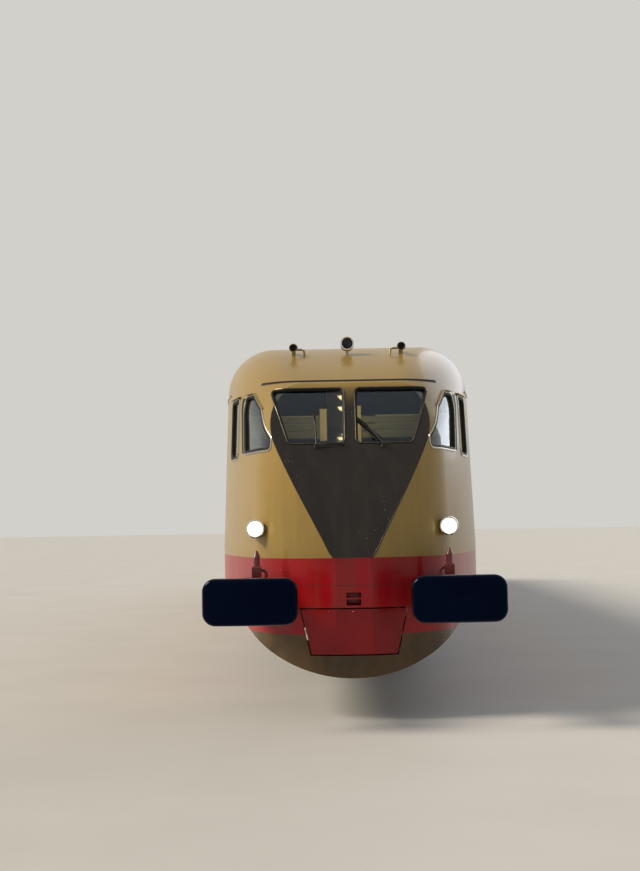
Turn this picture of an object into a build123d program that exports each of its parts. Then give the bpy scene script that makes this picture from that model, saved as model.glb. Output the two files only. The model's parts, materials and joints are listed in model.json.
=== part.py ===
from build123d import *
import math
import os

# A streamlined electric railcar that can be driven from either end.
# Millimetres. X is across the car, Y along it with the first cab at -Y, Z up.
# The wheel flanges stand on the plane Z = 0, and heights below are above the rail top.

# Overall
FLANGE_DEPTH = 30
LENGTH_OVER_BUFFERS = 28200
BUFFER_REACH = 720
BODY_WIDTH = 2780
ROOF_HEIGHT = 3600
CORNER_RADIUS = 500
HALF_BODY = LENGTH_OVER_BUFFERS / 2 - BUFFER_REACH
HALF_WIDTH = BODY_WIDTH / 2

# Nose seen from above: three tangent arcs, with the angles where they meet
NOSE_REACH = 48
NOSE_LENGTH = 3300
NOSE_TIP_RADIUS = 998
TIP_ARC_ANGLE = 35
SHOULDER_ARC_ANGLE = 70

# Nose seen from the side: facet with the windscreens, then the brow up to the roof
FACET_FOOT = (-35, 1390)
FACET_MIDDLE = (237, 2317)
GUTTER = (700, 3020)
BROW_LENGTH = 2900

# Cross section below the waist
WAIST_HEIGHT = 1450
WALL_LEAN = 0.040
LEAN_ANGLE = math.degrees(math.atan(WALL_LEAN))
KNEE_TOP = 1215
KNEE_RADIUS = 250
BELLY_SLOPE = 43
BELLY_CORNER_X = 980

# Plates
WALL = 60
SKIRT = 30
GLASS_DEPTH = 22
FIT_GAP = 0.3

# Levels and splits of the bodyshell
WALL_FOOT = 1050
FLOOR_TOP = 1230
FLOOR_THICKNESS = 50
CANTRAIL = 3020
NOSE_SPLIT = 2500
APRON_END = 2500

# Bogies and wheels
BOGIE_CENTRES = 14400
WHEELBASE = 2600
WHEEL_DIAMETER = 940
GAUGE = 1435
TYRE_WIDTH = 135
JOURNAL_CENTRES = 2000
JOURNAL_RADIUS = 65
JOURNAL_CLEARANCE = 0.1
WHEEL_RADIUS = WHEEL_DIAMETER / 2
HALF_CENTRES = BOGIE_CENTRES / 2
HALF_BASE = WHEELBASE / 2

os.makedirs("parts", exist_ok=True)
parts = {}


def up(height):
    """Height above the rail top as a Z value."""
    return FLANGE_DEPTH + height


def behind(distance):
    """Y of a plane that lies this far behind the tip of the first nose."""
    return distance - HALF_BODY


def block(x0, x1, y0, y1, low, high):
    """Box between two X, two Y and two heights above the rail."""
    size = Box(x1 - x0, y1 - y0, high - low)
    return Pos((x0 + x1) / 2, (y0 + y1) / 2, up((low + high) / 2)) * size


def both_sides(shape):
    """A piece and its copy mirrored across the car."""
    return [shape, mirror(shape, Plane.YZ)]


def both_ends(shapes):
    """Pieces of the first end and their copies mirrored to the other end."""
    return list(shapes) + [mirror(shape, Plane.XZ) for shape in shapes]


def across(points):
    """Face from points given across the car and above the rail, ready to extrude along Y."""
    outline = Polyline(*[(x, up(h)) for x, h in points], close=True)
    return Plane.XZ * make_face(outline)


def along(points):
    """Face from points given behind the nose tip and above the rail, ready to extrude along X."""
    outline = Polyline(*[(behind(u), up(h)) for u, h in points], close=True)
    return Plane.YZ * make_face(outline)


# Bodyshell

def plan_quarter():
    """Arcs of one quarter of the plan, tip to flank, as start, middle and end points."""
    tip, shoulder, side = (math.radians(a) for a in (TIP_ARC_ANGLE, SHOULDER_ARC_ANGLE, 90))
    # Two unknown radii follow from the nose length and the half width.
    a1 = math.sin(shoulder) - math.sin(tip)
    b1 = 1 - math.sin(shoulder)
    c1 = HALF_WIDTH - NOSE_TIP_RADIUS * math.sin(tip)
    a2 = math.cos(tip) - math.cos(shoulder)
    b2 = math.cos(shoulder)
    c2 = NOSE_REACH + NOSE_LENGTH - NOSE_TIP_RADIUS * (1 - math.cos(tip))
    shoulder_radius = (c1 * b2 - c2 * b1) / (a1 * b2 - a2 * b1)
    flank_radius = (a1 * c2 - a2 * c1) / (a1 * b2 - a2 * b1)
    arcs = []
    x, y, radius = 0, behind(-NOSE_REACH) + NOSE_TIP_RADIUS, NOSE_TIP_RADIUS
    spans = ((NOSE_TIP_RADIUS, 0, tip), (shoulder_radius, tip, shoulder), (flank_radius, shoulder, side))
    for new_radius, start, end in spans:
        x += (radius - new_radius) * math.sin(start)
        y -= (radius - new_radius) * math.cos(start)
        radius = new_radius
        angles = (start, (start + end) / 2, end)
        arcs.append([(x + radius * math.sin(a), y - radius * math.cos(a)) for a in angles])
    return arcs


def plan_face():
    """Outline of the whole car from above."""
    edges = []
    for side, end in ((1, 1), (-1, 1), (1, -1), (-1, -1)):
        for arc in plan_quarter():
            edges.append(ThreePointArc(*[(side * x, end * y) for x, y in arc]))
    flank = HALF_BODY - NOSE_LENGTH
    for side in (1, -1):
        edges.append(Line((side * HALF_WIDTH, -flank), (side * HALF_WIDTH, flank)))
    return make_face(edges)


def section_face():
    """Outline of the belly and the knees, with plain walls that run up past the roof."""
    slope = math.radians(BELLY_SLOPE)
    knee_x = HALF_WIDTH - KNEE_RADIUS * (1 - math.sin(slope))
    knee_h = KNEE_TOP - KNEE_RADIUS * math.cos(slope)
    corner_h = knee_h - (knee_x - BELLY_CORNER_X) * math.tan(slope)
    # The belly arc is centred on the car and tangent to the slope below the knee.
    belly_radius = BELLY_CORNER_X / math.sin(slope)
    belly_low = corner_h - belly_radius * (1 - math.cos(slope))
    knee_mid = math.radians((90 - BELLY_SLOPE) / 2)
    corners = [(side * BELLY_CORNER_X, up(corner_h)) for side in (-1, 1)]
    edges = [ThreePointArc(corners[0], (0, up(belly_low)), corners[1])]
    for side in (1, -1):
        def at(x, h, side=side):
            return (side * x, up(h))
        edges.append(Line(at(BELLY_CORNER_X, corner_h), at(knee_x, knee_h)))
        middle = at(HALF_WIDTH - KNEE_RADIUS * (1 - math.cos(knee_mid)),
                    KNEE_TOP - KNEE_RADIUS * math.sin(knee_mid))
        edges.append(ThreePointArc(at(knee_x, knee_h), middle, at(HALF_WIDTH, KNEE_TOP)))
        edges.append(Line(at(HALF_WIDTH, KNEE_TOP), at(HALF_WIDTH, FACET_TOP)))
    edges.append(Line((-HALF_WIDTH, up(FACET_TOP)), (HALF_WIDTH, up(FACET_TOP))))
    return make_face(edges)


FACET_TOP = ROOF_HEIGHT + 200
BROW_DROP = ROOF_HEIGHT - GUTTER[1]
BROW_RADIUS = ((BROW_LENGTH - GUTTER[0]) ** 2 + BROW_DROP ** 2) / (2 * BROW_DROP)
PROFILE_OVERRUN = 200
PROFILE_BOTTOM = 200


def roof_height_at(distance):
    """Height of the brow, or of the roof behind it, this far behind the nose tip."""
    ahead = max(BROW_LENGTH - distance, 0)
    return ROOF_HEIGHT - BROW_RADIUS + math.sqrt(BROW_RADIUS ** 2 - ahead ** 2)


def roof_face():
    """Side outline of the roof, which bends down over each nose in one arc."""
    edges = []
    front = -PROFILE_OVERRUN
    for end in (1, -1):
        def at(u, h, end=end):
            return (end * behind(u), up(h))
        middle = (front + BROW_LENGTH) / 2
        edges.append(Line(at(HALF_BODY, PROFILE_BOTTOM), at(front, PROFILE_BOTTOM)))
        edges.append(Line(at(front, PROFILE_BOTTOM), at(front, roof_height_at(front))))
        edges.append(ThreePointArc(at(front, roof_height_at(front)), at(middle, roof_height_at(middle)),
                                   at(BROW_LENGTH, ROOF_HEIGHT)))
        edges.append(Line(at(BROW_LENGTH, ROOF_HEIGHT), at(HALF_BODY, ROOF_HEIGHT)))
    return make_face(edges)


def facet_arc():
    """Centre distance, centre height and radius of the arc that the facet follows."""
    (u1, h1), (u2, h2), (u3, h3) = FACET_FOOT, FACET_MIDDLE, GUTTER
    a, b = u2 - u1, h2 - h1
    c, d = u3 - u1, h3 - h1
    e, f = (a * (u1 + u2) + b * (h1 + h2)) / 2, (c * (u1 + u3) + d * (h1 + h3)) / 2
    u0 = (e * d - b * f) / (a * d - b * c)
    h0 = (a * f - e * c) / (a * d - b * c)
    return u0, h0, math.hypot(u1 - u0, h1 - h0)


def facet_u(height):
    """Distance of the facet behind the nose tip at a height."""
    u0, h0, radius = facet_arc()
    return u0 - math.sqrt(radius ** 2 - (height - h0) ** 2)


def side_face():
    """Side outline of the noses: an upright foot, then the facet with the windscreens."""
    edges = []
    for end in (1, -1):
        def at(point, end=end):
            return (end * behind(point[0]), up(point[1]))
        top = (facet_u(FACET_TOP), FACET_TOP)
        edges.append(Line(at((HALF_BODY, PROFILE_BOTTOM)), at((FACET_FOOT[0], PROFILE_BOTTOM))))
        edges.append(Line(at((FACET_FOOT[0], PROFILE_BOTTOM)), at(FACET_FOOT)))
        edges.append(ThreePointArc(at(FACET_FOOT), at(FACET_MIDDLE), at(top)))
        edges.append(Line(at(top), at((HALF_BODY, FACET_TOP))))
    return make_face(edges)


PLAN, SECTION, ROOF, SIDE = plan_face(), section_face(), roof_face(), side_face()


def hull(inset):
    """The closed body volume, its skin set in by this much."""
    plan, section, roof, side = PLAN, SECTION, ROOF, SIDE
    if inset:
        faces = (plan, section, roof, side)
        plan, section, roof, side = (offset(face, -inset, kind=Kind.INTERSECTION) for face in faces)
    body = extrude(plan, up(WAIST_HEIGHT))
    body += Pos(0, 0, up(WAIST_HEIGHT)) * extrude(plan, FACET_TOP - WAIST_HEIGHT, taper=LEAN_ANGLE)
    body &= extrude(Plane.YZ * roof, BODY_WIDTH, both=True)
    rim = [edge for edge in body.edges() if edge.center().Z > up(2300) and edge.bounding_box().size.Y > 1]
    body = fillet(rim, CORNER_RADIUS - inset)
    body &= extrude(Plane.XZ * section, HALF_BODY + PROFILE_OVERRUN, both=True)
    body &= extrude(Plane.YZ * side, BODY_WIDTH, both=True)
    return body


OUTER = hull(0)
WALL_CORE = hull(WALL)
SKIRT_CORE = hull(SKIRT)
GLASS_LAYER = hull(GLASS_DEPTH) - SKIRT_CORE
ROOM = hull(WALL + FIT_GAP)
UPPER_SHELL = OUTER - WALL_CORE
LOWER_SHELL = OUTER - SKIRT_CORE
FAR = 2 * LENGTH_OVER_BUFFERS


def rounded_prism_along(points, radius, x0, x1):
    """Prism across the car with rounded corners, its outline behind the nose and above the rail."""
    face = along(points)
    face = fillet(face.vertices(), radius)
    return Pos(x0, 0, 0) * extrude(face, x1 - x0)


def rounded_prism_across(points, radius, y0, y1):
    """Prism along the car with rounded corners, its outline across and above the rail."""
    face = across(points)
    face = fillet(face.vertices(), radius)
    return Pos(0, y1, 0) * extrude(face, y1 - y0)


# Windscreens: two panes beside a pillar. Outline columns are across, height.
PILLAR = 104
SCREEN = ((PILLAR / 2, 2425), (568, 2425), (748, 2965), (PILLAR / 2, 2965))
SCREEN_RADIUS = 45

# Cab side windows. Outline columns are behind the nose, height.
QUARTER = ((350, 2395), (350, 2475), (680, 2770), (960, 2925), (1100, 2925), (1000, 2395))
QUARTER_RADIUS = 25
DROPLIGHT = ((1340, 2370), (1340, 2930), (1760, 2930), (1760, 2370))
DROPLIGHT_RADIUS = 60

# Air slot across the brow, and the small recess with a bar above the hatch
SLOT_HALF = 845
SLOT_HEIGHT = 3047
SLOT_WIDTH = 16
RECESS_HALF = 65
RECESS_LOW = 972
RECESS_HIGH = 1086
RECESS_ROUND = 12
RECESS_BAR = (1026, 1040)

# Doors, one on each side of each vestibule
DOOR_WIDTH = 800
DOOR_HEIGHT = 1780
DOOR_CENTRE = 4100
DOOR_GAP = 6
DOOR_LOW = FLOOR_TOP + 15
DOOR_HIGH = DOOR_LOW + DOOR_HEIGHT
DOOR_CORNER = 90
DOOR_SWING = 85

# Saloon windows: a centre and a width along Y, both sides the same
WINDOW_LOW = 2030
WINDOW_HIGH = 2820
WINDOW_WIDTH = 1100
WINDOW_PITCH = 1320
WINDOW_CORNER = 90
MIDDLE_WINDOWS = 5
END_WINDOWS = 4
END_WINDOW_FIRST = DOOR_CENTRE + DOOR_WIDTH / 2 + 1000


def window_centres():
    """Y of each saloon window of one side."""
    middle = [(i - (MIDDLE_WINDOWS - 1) / 2) * WINDOW_PITCH for i in range(MIDDLE_WINDOWS)]
    ends = [END_WINDOW_FIRST + i * WINDOW_PITCH for i in range(END_WINDOWS)]
    return middle + ends + [-y for y in ends]


def side_opening(centre, width, low, high, radius, x0, x1):
    """Rounded prism through a side of the body."""
    u0, u1 = centre - width / 2 + HALF_BODY, centre + width / 2 + HALF_BODY
    return rounded_prism_along(((u0, low), (u1, low), (u1, high), (u0, high)), radius, x0, x1)


def recess_cutter():
    """Hole of the recess, through the nose and the apron."""
    outline = ((-RECESS_HALF, RECESS_LOW), (RECESS_HALF, RECESS_LOW), (RECESS_HALF, RECESS_HIGH),
               (-RECESS_HALF, RECESS_HIGH))
    return rounded_prism_across(outline, RECESS_ROUND, behind(-100), behind(200))


def make_shell():
    """Roof, two side walls and two noses, each cut where the real panels meet."""
    screens = both_sides(rounded_prism_across(SCREEN, SCREEN_RADIUS, behind(-200), behind(1400)))
    cab_sides = []
    for points, radius in ((QUARTER, QUARTER_RADIUS), (DROPLIGHT, DROPLIGHT_RADIUS)):
        cab_sides += both_sides(rounded_prism_along(points, radius, 400, HALF_WIDTH + 100))
    cab_cutters = screens + cab_sides
    saloon_cutters = []
    for y in window_centres():
        saloon_cutters.append(side_opening(y, WINDOW_WIDTH, WINDOW_LOW, WINDOW_HIGH, WINDOW_CORNER,
                                           1000, HALF_WIDTH + 100))
    door_cutters = []
    leaves = []
    for y in (-DOOR_CENTRE, DOOR_CENTRE):
        door_cutters.append(side_opening(y, DOOR_WIDTH + 2 * DOOR_GAP, DOOR_LOW - DOOR_GAP,
                                         DOOR_HIGH + DOOR_GAP, DOOR_CORNER + DOOR_GAP, 1000, HALF_WIDTH + 100))
        leaves.append(side_opening(y, DOOR_WIDTH, DOOR_LOW, DOOR_HIGH, DOOR_CORNER, 1000, HALF_WIDTH + 100))

    low, high = SLOT_HEIGHT - SLOT_WIDTH / 2, SLOT_HEIGHT + SLOT_WIDTH / 2
    slot = ((-SLOT_HALF, low), (SLOT_HALF, low), (SLOT_HALF, high), (-SLOT_HALF, high))
    slot = rounded_prism_across(slot, SLOT_WIDTH * 0.45, behind(0), behind(BROW_LENGTH))
    roof = UPPER_SHELL & block(-FAR, FAR, -FAR, FAR, CANTRAIL, ROOF_HEIGHT + 500)
    parts["roof"] = roof - both_ends([slot])
    nose = UPPER_SHELL & block(-FAR, FAR, -FAR, behind(NOSE_SPLIT), WALL_FOOT, CANTRAIL)
    nose -= cab_cutters + [recess_cutter()]
    parts["nose_front"], parts["nose_rear"] = both_ends([nose])
    wall = UPPER_SHELL & block(0, FAR, behind(NOSE_SPLIT), -behind(NOSE_SPLIT), WALL_FOOT, CANTRAIL)
    leaf_stock = UPPER_SHELL & block(1000, FAR, behind(NOSE_SPLIT), -behind(NOSE_SPLIT), WALL_FOOT, CANTRAIL)
    wall -= saloon_cutters + door_cutters
    parts["side_wall_right"], parts["side_wall_left"] = both_sides(wall)

    cab_glass = [GLASS_LAYER & cutter for cutter in cab_cutters]
    parts["cab_glass"] = Compound(both_ends(cab_glass))
    saloon_glass = [GLASS_LAYER & cutter for cutter in saloon_cutters]
    parts["saloon_glass"] = Compound([pane for one in saloon_glass for pane in both_sides(one)])
    return [leaf_stock & leaf for leaf in leaves]


# Door hinges: lugs on the leaf turn on pins that brackets on the jamb carry
HINGE_X = 1190
HINGE_HEIGHTS = (1420, 2700)
HINGE_PIN = 12
HINGE_CLEARANCE = 0.1
HINGE_EYE = 24
LUG_THICKNESS = 26
DOOR_WINDOW_LOW = 2030
DOOR_WINDOW_HIGH = 2820
DOOR_WINDOW_SIDE = 160


def make_doors(leaves):
    """Four leaves hung on pins just inside the wall, with their lugs, and the wall brackets."""
    brackets = []
    for y_centre, leaf in zip((-DOOR_CENTRE, DOOR_CENTRE), leaves):
        outward = 1 if y_centre > 0 else -1
        hinge_y = y_centre + outward * (DOOR_WIDTH / 2 + DOOR_GAP)
        for height in HINGE_HEIGHTS:
            arm_out = hinge_y - outward * 70
            y0, y1 = sorted((hinge_y, arm_out))
            arm = block(HINGE_X, HALF_WIDTH - 20, y0, y1, height, height + LUG_THICKNESS)
            arm = arm & WALL_CORE
            arm -= block(HINGE_X, FAR, *sorted((hinge_y, hinge_y - outward * (DOOR_GAP))),
                         height, height + LUG_THICKNESS)
            eye = Pos(HINGE_X, hinge_y, up(height + LUG_THICKNESS / 2)) * Cylinder(HINGE_EYE, LUG_THICKNESS)
            bridge = block(HINGE_X - HINGE_EYE, HINGE_X + HINGE_EYE, y0, y1, height, height + LUG_THICKNESS)
            arm += [eye, bridge]
            bore = Pos(HINGE_X, hinge_y, up(height)) * Cylinder(HINGE_PIN + HINGE_CLEARANCE, 4 * LUG_THICKNESS)
            leaf = leaf + arm
            leaf -= bore
            y0, y1 = sorted((hinge_y - outward * HINGE_EYE / 2, hinge_y + outward * 90))
            low = height - FIT_GAP - LUG_THICKNESS
            plate = block(HINGE_X - HINGE_EYE, FAR, y0, y1, low, height - FIT_GAP) & WALL_CORE
            plate -= block(HINGE_X + HINGE_EYE, FAR, -FAR, hinge_y, low, height) if outward > 0 else \
                block(HINGE_X + HINGE_EYE, FAR, hinge_y, FAR, low, height)
            pin_length = 2 * LUG_THICKNESS
            pin = Pos(HINGE_X, hinge_y, up(low + pin_length / 2)) * Cylinder(HINGE_PIN, pin_length)
            brackets.append(plate + pin)
        window = side_opening(y_centre, DOOR_WIDTH - 2 * DOOR_WINDOW_SIDE, DOOR_WINDOW_LOW, DOOR_WINDOW_HIGH,
                              WINDOW_CORNER, 1000, HALF_WIDTH + 100)
        leaf -= window
        name = "front" if y_centre < 0 else "rear"
        parts[f"door_{name}_right"], parts[f"door_{name}_left"] = both_sides(leaf)
    parts["side_wall_right"] = parts["side_wall_right"] + brackets
    parts["side_wall_left"] = mirror(parts["side_wall_right"], Plane.YZ)


make_doors(make_shell())

# Skirts, aprons and the hatch over the drawgear
HATCH_TOP = (470, 940)
HATCH_FOOT = (380, 545)
HATCH_GAP = 12
HATCH_TAB = 50
HATCH_TAB_DEPTH = 12
HATCH_TAB_HEIGHTS = (620, 840)
BOGIE_OPENING = 4400
BOGIE_OPENING_TOP = 920
BOGIE_OPENING_RADIUS = 350
SKIRT_INNER = 900
STEP_OPENING = 860
STEP_HEADROOM = 60


def hatch_outline(grow):
    """Hatch trapezoid, grown by a gap on every side."""
    (top_x, top_h), (foot_x, foot_h) = HATCH_TOP, HATCH_FOOT
    return ((-top_x - grow, top_h + grow), (top_x + grow, top_h + grow),
            (foot_x + grow, foot_h - grow), (-foot_x - grow, foot_h - grow))


def make_skirts():
    """Lower fairing: an apron and belly pan under each nose and a skirt along each side."""
    low_box = block(-FAR, FAR, -FAR, behind(APRON_END), 0, WALL_FOOT)
    apron = LOWER_SHELL & low_box
    apron -= Pos(0, behind(700), 0) * extrude(across(hatch_outline(HATCH_GAP)), 1400)
    apron -= recess_cutter()
    bar_low, bar_high = RECESS_BAR
    apron += LOWER_SHELL & block(-RECESS_HALF, RECESS_HALF, behind(-100), behind(200), bar_low, bar_high)
    parts["apron_front"], parts["apron_rear"] = both_ends([apron])
    stock = Pos(0, behind(500), 0) * extrude(across(hatch_outline(0)), 1000)
    hatch = LOWER_SHELL & stock
    # Tabs on the hatch reach behind the edge of the apron and hold it there.
    tab_core = hull(SKIRT + HATCH_TAB_DEPTH)
    for height in HATCH_TAB_HEIGHTS:
        share = (height - HATCH_FOOT[1]) / (HATCH_TOP[1] - HATCH_FOOT[1])
        edge = HATCH_FOOT[0] + share * (HATCH_TOP[0] - HATCH_FOOT[0])
        tab = block(edge - HATCH_TAB, edge + HATCH_TAB, behind(0), behind(500),
                    height - HATCH_TAB / 2, height + HATCH_TAB / 2)
        tab = ((SKIRT_CORE & stock) + hull(SKIRT + FIT_GAP)) & tab
        hatch += both_sides(tab - tab_core)
    parts["drawgear_hatches"] = Compound(both_ends([hatch]))

    skirt = LOWER_SHELL & block(SKIRT_INNER, FAR, behind(APRON_END), -behind(APRON_END), 0, WALL_FOOT)
    for centre in (-HALF_CENTRES, HALF_CENTRES):
        u0, u1 = centre - BOGIE_OPENING / 2 + HALF_BODY, centre + BOGIE_OPENING / 2 + HALF_BODY
        opening = rounded_prism_along(((u0, 0), (u1, 0), (u1, BOGIE_OPENING_TOP), (u0, BOGIE_OPENING_TOP)),
                                      BOGIE_OPENING_RADIUS, 0, FAR)
        skirt -= opening
        skirt -= block(0, FAR, behind(u0), behind(u1), -500, BOGIE_OPENING_RADIUS)
    for y in (-DOOR_CENTRE, DOOR_CENTRE):
        skirt -= block(0, FAR, y - STEP_OPENING / 2, y + STEP_OPENING / 2, 0, WALL_FOOT - STEP_HEADROOM)
    parts["skirt_right"], parts["skirt_left"] = both_sides(skirt)


make_skirts()

# Underframe, floor and pivots
SILL_X = 420
SILL_WIDTH = 120
SOLEBAR_X = 1290
SOLEBAR_WIDTH = 80
FRAME_LOW = 1010
FRAME_HIGH = FLOOR_TOP - FLOOR_THICKNESS
FRAME_END = 1350
CROSS_WIDTH = 140
CROSS_MEMBERS = 9
CROSS_PITCH = 1475
BOLSTER_WIDTH = 520
JACKING_PAD_X = 1130
JACKING_PAD_HALF = (60, 80)
JACKING_PAD_DROP = 40
PIVOT_RADIUS = 110
PIVOT_CLEARANCE = 0.1
PIVOT_LOW = 620
SIDE_BEARER_X = 700
SIDE_BEARER_LOW = 930
SIDE_BEARER_HALF = (110, 130)


def side_bearer(x, y, low, high):
    """Rubbing block beside a pivot, half of which hangs from the body and half stands on the bogie."""
    half_x, half_y = SIDE_BEARER_HALF
    return block(x - half_x, x + half_x, y - half_y, y + half_y, low, high)


def make_underframe():
    """Sills and cross members, the floor on them, and a pivot and two bearers under each bolster."""
    reach = -behind(FRAME_END)
    frame = block(-SOLEBAR_X, SOLEBAR_X, reach - CROSS_WIDTH, reach, FRAME_LOW, FRAME_HIGH)
    frame += block(-SOLEBAR_X, SOLEBAR_X, -reach, -reach + CROSS_WIDTH, FRAME_LOW, FRAME_HIGH)
    for x in (-SILL_X, SILL_X):
        frame += block(x - SILL_WIDTH / 2, x + SILL_WIDTH / 2, -reach, reach, FRAME_LOW, FRAME_HIGH)
    for x in (-SOLEBAR_X + SOLEBAR_WIDTH / 2, SOLEBAR_X - SOLEBAR_WIDTH / 2):
        frame += block(x - SOLEBAR_WIDTH / 2, x + SOLEBAR_WIDTH / 2, -reach, reach, FRAME_LOW, FRAME_HIGH)
    for i in range(CROSS_MEMBERS):
        y = (i - (CROSS_MEMBERS - 1) / 2) * CROSS_PITCH
        frame += block(-SOLEBAR_X, SOLEBAR_X, y - CROSS_WIDTH / 2, y + CROSS_WIDTH / 2, FRAME_LOW, FRAME_HIGH)
    pivots = []
    for y in (-HALF_CENTRES, HALF_CENTRES):
        half_x, half_y = JACKING_PAD_HALF
        frame += block(-SOLEBAR_X, SOLEBAR_X, y - BOLSTER_WIDTH / 2, y + BOLSTER_WIDTH / 2,
                       FRAME_LOW, FRAME_HIGH)
        for x in (-JACKING_PAD_X, JACKING_PAD_X):
            frame += block(x - half_x, x + half_x, y - half_y, y + half_y,
                           FRAME_LOW - JACKING_PAD_DROP, FRAME_LOW)
        for x in (-SIDE_BEARER_X, SIDE_BEARER_X):
            pivots.append(side_bearer(x, y, SIDE_BEARER_LOW, FRAME_LOW))
        pin = Cylinder(PIVOT_RADIUS, FRAME_LOW - PIVOT_LOW)
        pivots.append(Pos(0, y, up((FRAME_LOW + PIVOT_LOW) / 2)) * pin)
    parts["underframe"] = frame & ROOM
    parts["centre_pivots"] = Compound(pivots)
    parts["floor"] = ROOM & block(-FAR, FAR, -FAR, FAR, FRAME_HIGH, FLOOR_TOP)


make_underframe()

# Cab and saloon fittings
BULKHEAD = 40
CAB_BULKHEAD = 2350
VESTIBULE_HALF = 900
AISLE = 300
DOORWAY = 600
DOORWAY_HEIGHT = 1950
SEAT_PITCH = 880
SEAT_DEPTH = 480
SEAT_HEIGHT = 430
BACK_HEIGHT = 1100
SEAT_WALL_GAP = 40
SEAT_PROFILE = (
    # distance forwards, height above the floor
    (0, 0), (330, 0), (360, SEAT_HEIGHT - 130), (SEAT_DEPTH, SEAT_HEIGHT - 110), (SEAT_DEPTH, SEAT_HEIGHT),
    (110, SEAT_HEIGHT - 40), (20, BACK_HEIGHT), (-60, BACK_HEIGHT), (-10, SEAT_HEIGHT - 60),
)
DESK_HALF = 700
DESK_PROFILE = (
    # distance behind the nose, height above the floor
    (900, 0), (1250, 0), (1250, 650), (1330, 850), (900, 980),
)
CHAIR_X = -550
CHAIR_HALF = 210
CHAIR_PROFILE = (
    # distance behind the nose, height above the floor
    (1700, 0), (1900, 0), (1900, 400), (2080, 420), (2150, 1000), (2090, 1000), (2000, 520), (1600, 520),
    (1600, 430), (1700, 400),
)
END_ROWS = 6
END_ROW_FIRST = 300


def seat_row(y, facing):
    """Two benches of one row beside the aisle, backs towards -Y when facing is 1."""
    outline = Polyline(*[(y + facing * d, up(FLOOR_TOP + h)) for d, h in SEAT_PROFILE], close=True)
    face = Plane.YZ * make_face(outline)
    outer = HALF_WIDTH - WALL - SEAT_WALL_GAP - WALL_LEAN * 1000
    bench = Pos(AISLE, 0, 0) * extrude(face, outer - AISLE, dir=(1, 0, 0))
    return both_sides(bench)


def make_interior():
    """Bulkheads with doorways, benches, driving desks and chairs."""
    doorway = block(-DOORWAY / 2, DOORWAY / 2, -FAR, FAR, FLOOR_TOP, FLOOR_TOP + DOORWAY_HEIGHT)
    panels = []
    edge = DOOR_CENTRE + VESTIBULE_HALF
    for y in (behind(CAB_BULKHEAD), -edge, -DOOR_CENTRE + VESTIBULE_HALF):
        panel = ROOM & block(-FAR, FAR, y - BULKHEAD / 2, y + BULKHEAD / 2, FLOOR_TOP, ROOF_HEIGHT)
        panels.append(panel - doorway)
    parts["bulkheads"] = Compound(both_ends(panels))

    rows = []
    inner = DOOR_CENTRE - VESTIBULE_HALF - 150
    count = int(2 * inner // SEAT_PITCH)
    for i in range(count):
        y = (i - (count - 1) / 2) * SEAT_PITCH
        facing = 1 if y < 0 else -1
        rows += seat_row(y - facing * SEAT_DEPTH / 2, facing)
    for i in range(END_ROWS):
        y = edge + END_ROW_FIRST + i * SEAT_PITCH
        rows += seat_row(y, 1)
        rows += seat_row(-y, -1)
    parts["saloon_seats"] = Compound(rows)

    desk = along([(u, FLOOR_TOP + h) for u, h in DESK_PROFILE])
    desk = extrude(desk, DESK_HALF, both=True) & ROOM
    chair = along([(u, FLOOR_TOP + h) for u, h in CHAIR_PROFILE])
    chair = Pos(CHAIR_X, 0, 0) * extrude(chair, CHAIR_HALF, both=True)
    parts["driving_desks"] = Compound(both_ends([desk]))
    parts["driver_chairs"] = Compound(both_ends([chair]))


make_interior()

# Buffers
BUFFER_X = 875
BUFFER_HEIGHT = 1055
PLATE_WIDTH = 800
PLATE_HEIGHT = 395
PLATE_CORNER = 110
PLATE_DEPTH = 70
PLATE_BULGE = 40
PLATE_EDGE = 36
PLATE_RIM = 14
PLATE_SKIN = 30
CASING_WIDTH = 420
CASING_HEIGHT = 300
CASING_CORNER = 120
CASING_ROOT = 1000
BUFFER_FACE = -LENGTH_OVER_BUFFERS / 2


def make_buffers():
    """Wide bulged plates with turned-back rims, on oval casings that run back into the nose."""
    centre = Pos(BUFFER_X, up(BUFFER_HEIGHT))
    plate = Plane.XZ * (centre * RectangleRounded(PLATE_WIDTH, PLATE_HEIGHT, PLATE_CORNER))
    depth = PLATE_DEPTH + PLATE_BULGE
    seat = PLATE_BULGE + PLATE_SKIN
    plate = Pos(0, BUFFER_FACE + depth, 0) * extrude(plate, depth)
    bulge_radius = (PLATE_WIDTH / 2) ** 2 / (2 * PLATE_BULGE)
    bulge = Cylinder(bulge_radius, 2 * PLATE_HEIGHT)
    plate &= Pos(BUFFER_X, BUFFER_FACE + bulge_radius, up(BUFFER_HEIGHT)) * bulge
    face_edges = [edge for edge in plate.edges() if edge.bounding_box().max.Y < BUFFER_FACE + PLATE_BULGE + 1]
    plate = fillet(face_edges, PLATE_EDGE)
    pocket = offset(RectangleRounded(PLATE_WIDTH, PLATE_HEIGHT, PLATE_CORNER), -PLATE_RIM)
    plate -= Pos(0, BUFFER_FACE + depth, 0) * extrude(Plane.XZ * (centre * pocket), depth - seat)
    casing = Plane.XZ * (centre * RectangleRounded(CASING_WIDTH, CASING_HEIGHT, CASING_CORNER))
    casing = Pos(0, behind(CASING_ROOT), 0) * extrude(casing, behind(CASING_ROOT) - BUFFER_FACE - seat)
    casing -= OUTER
    parts["buffer_plates"] = Compound(both_ends(both_sides(plate)))
    parts["buffer_casings"] = Compound(both_ends(both_sides(casing)))


make_buffers()

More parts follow.
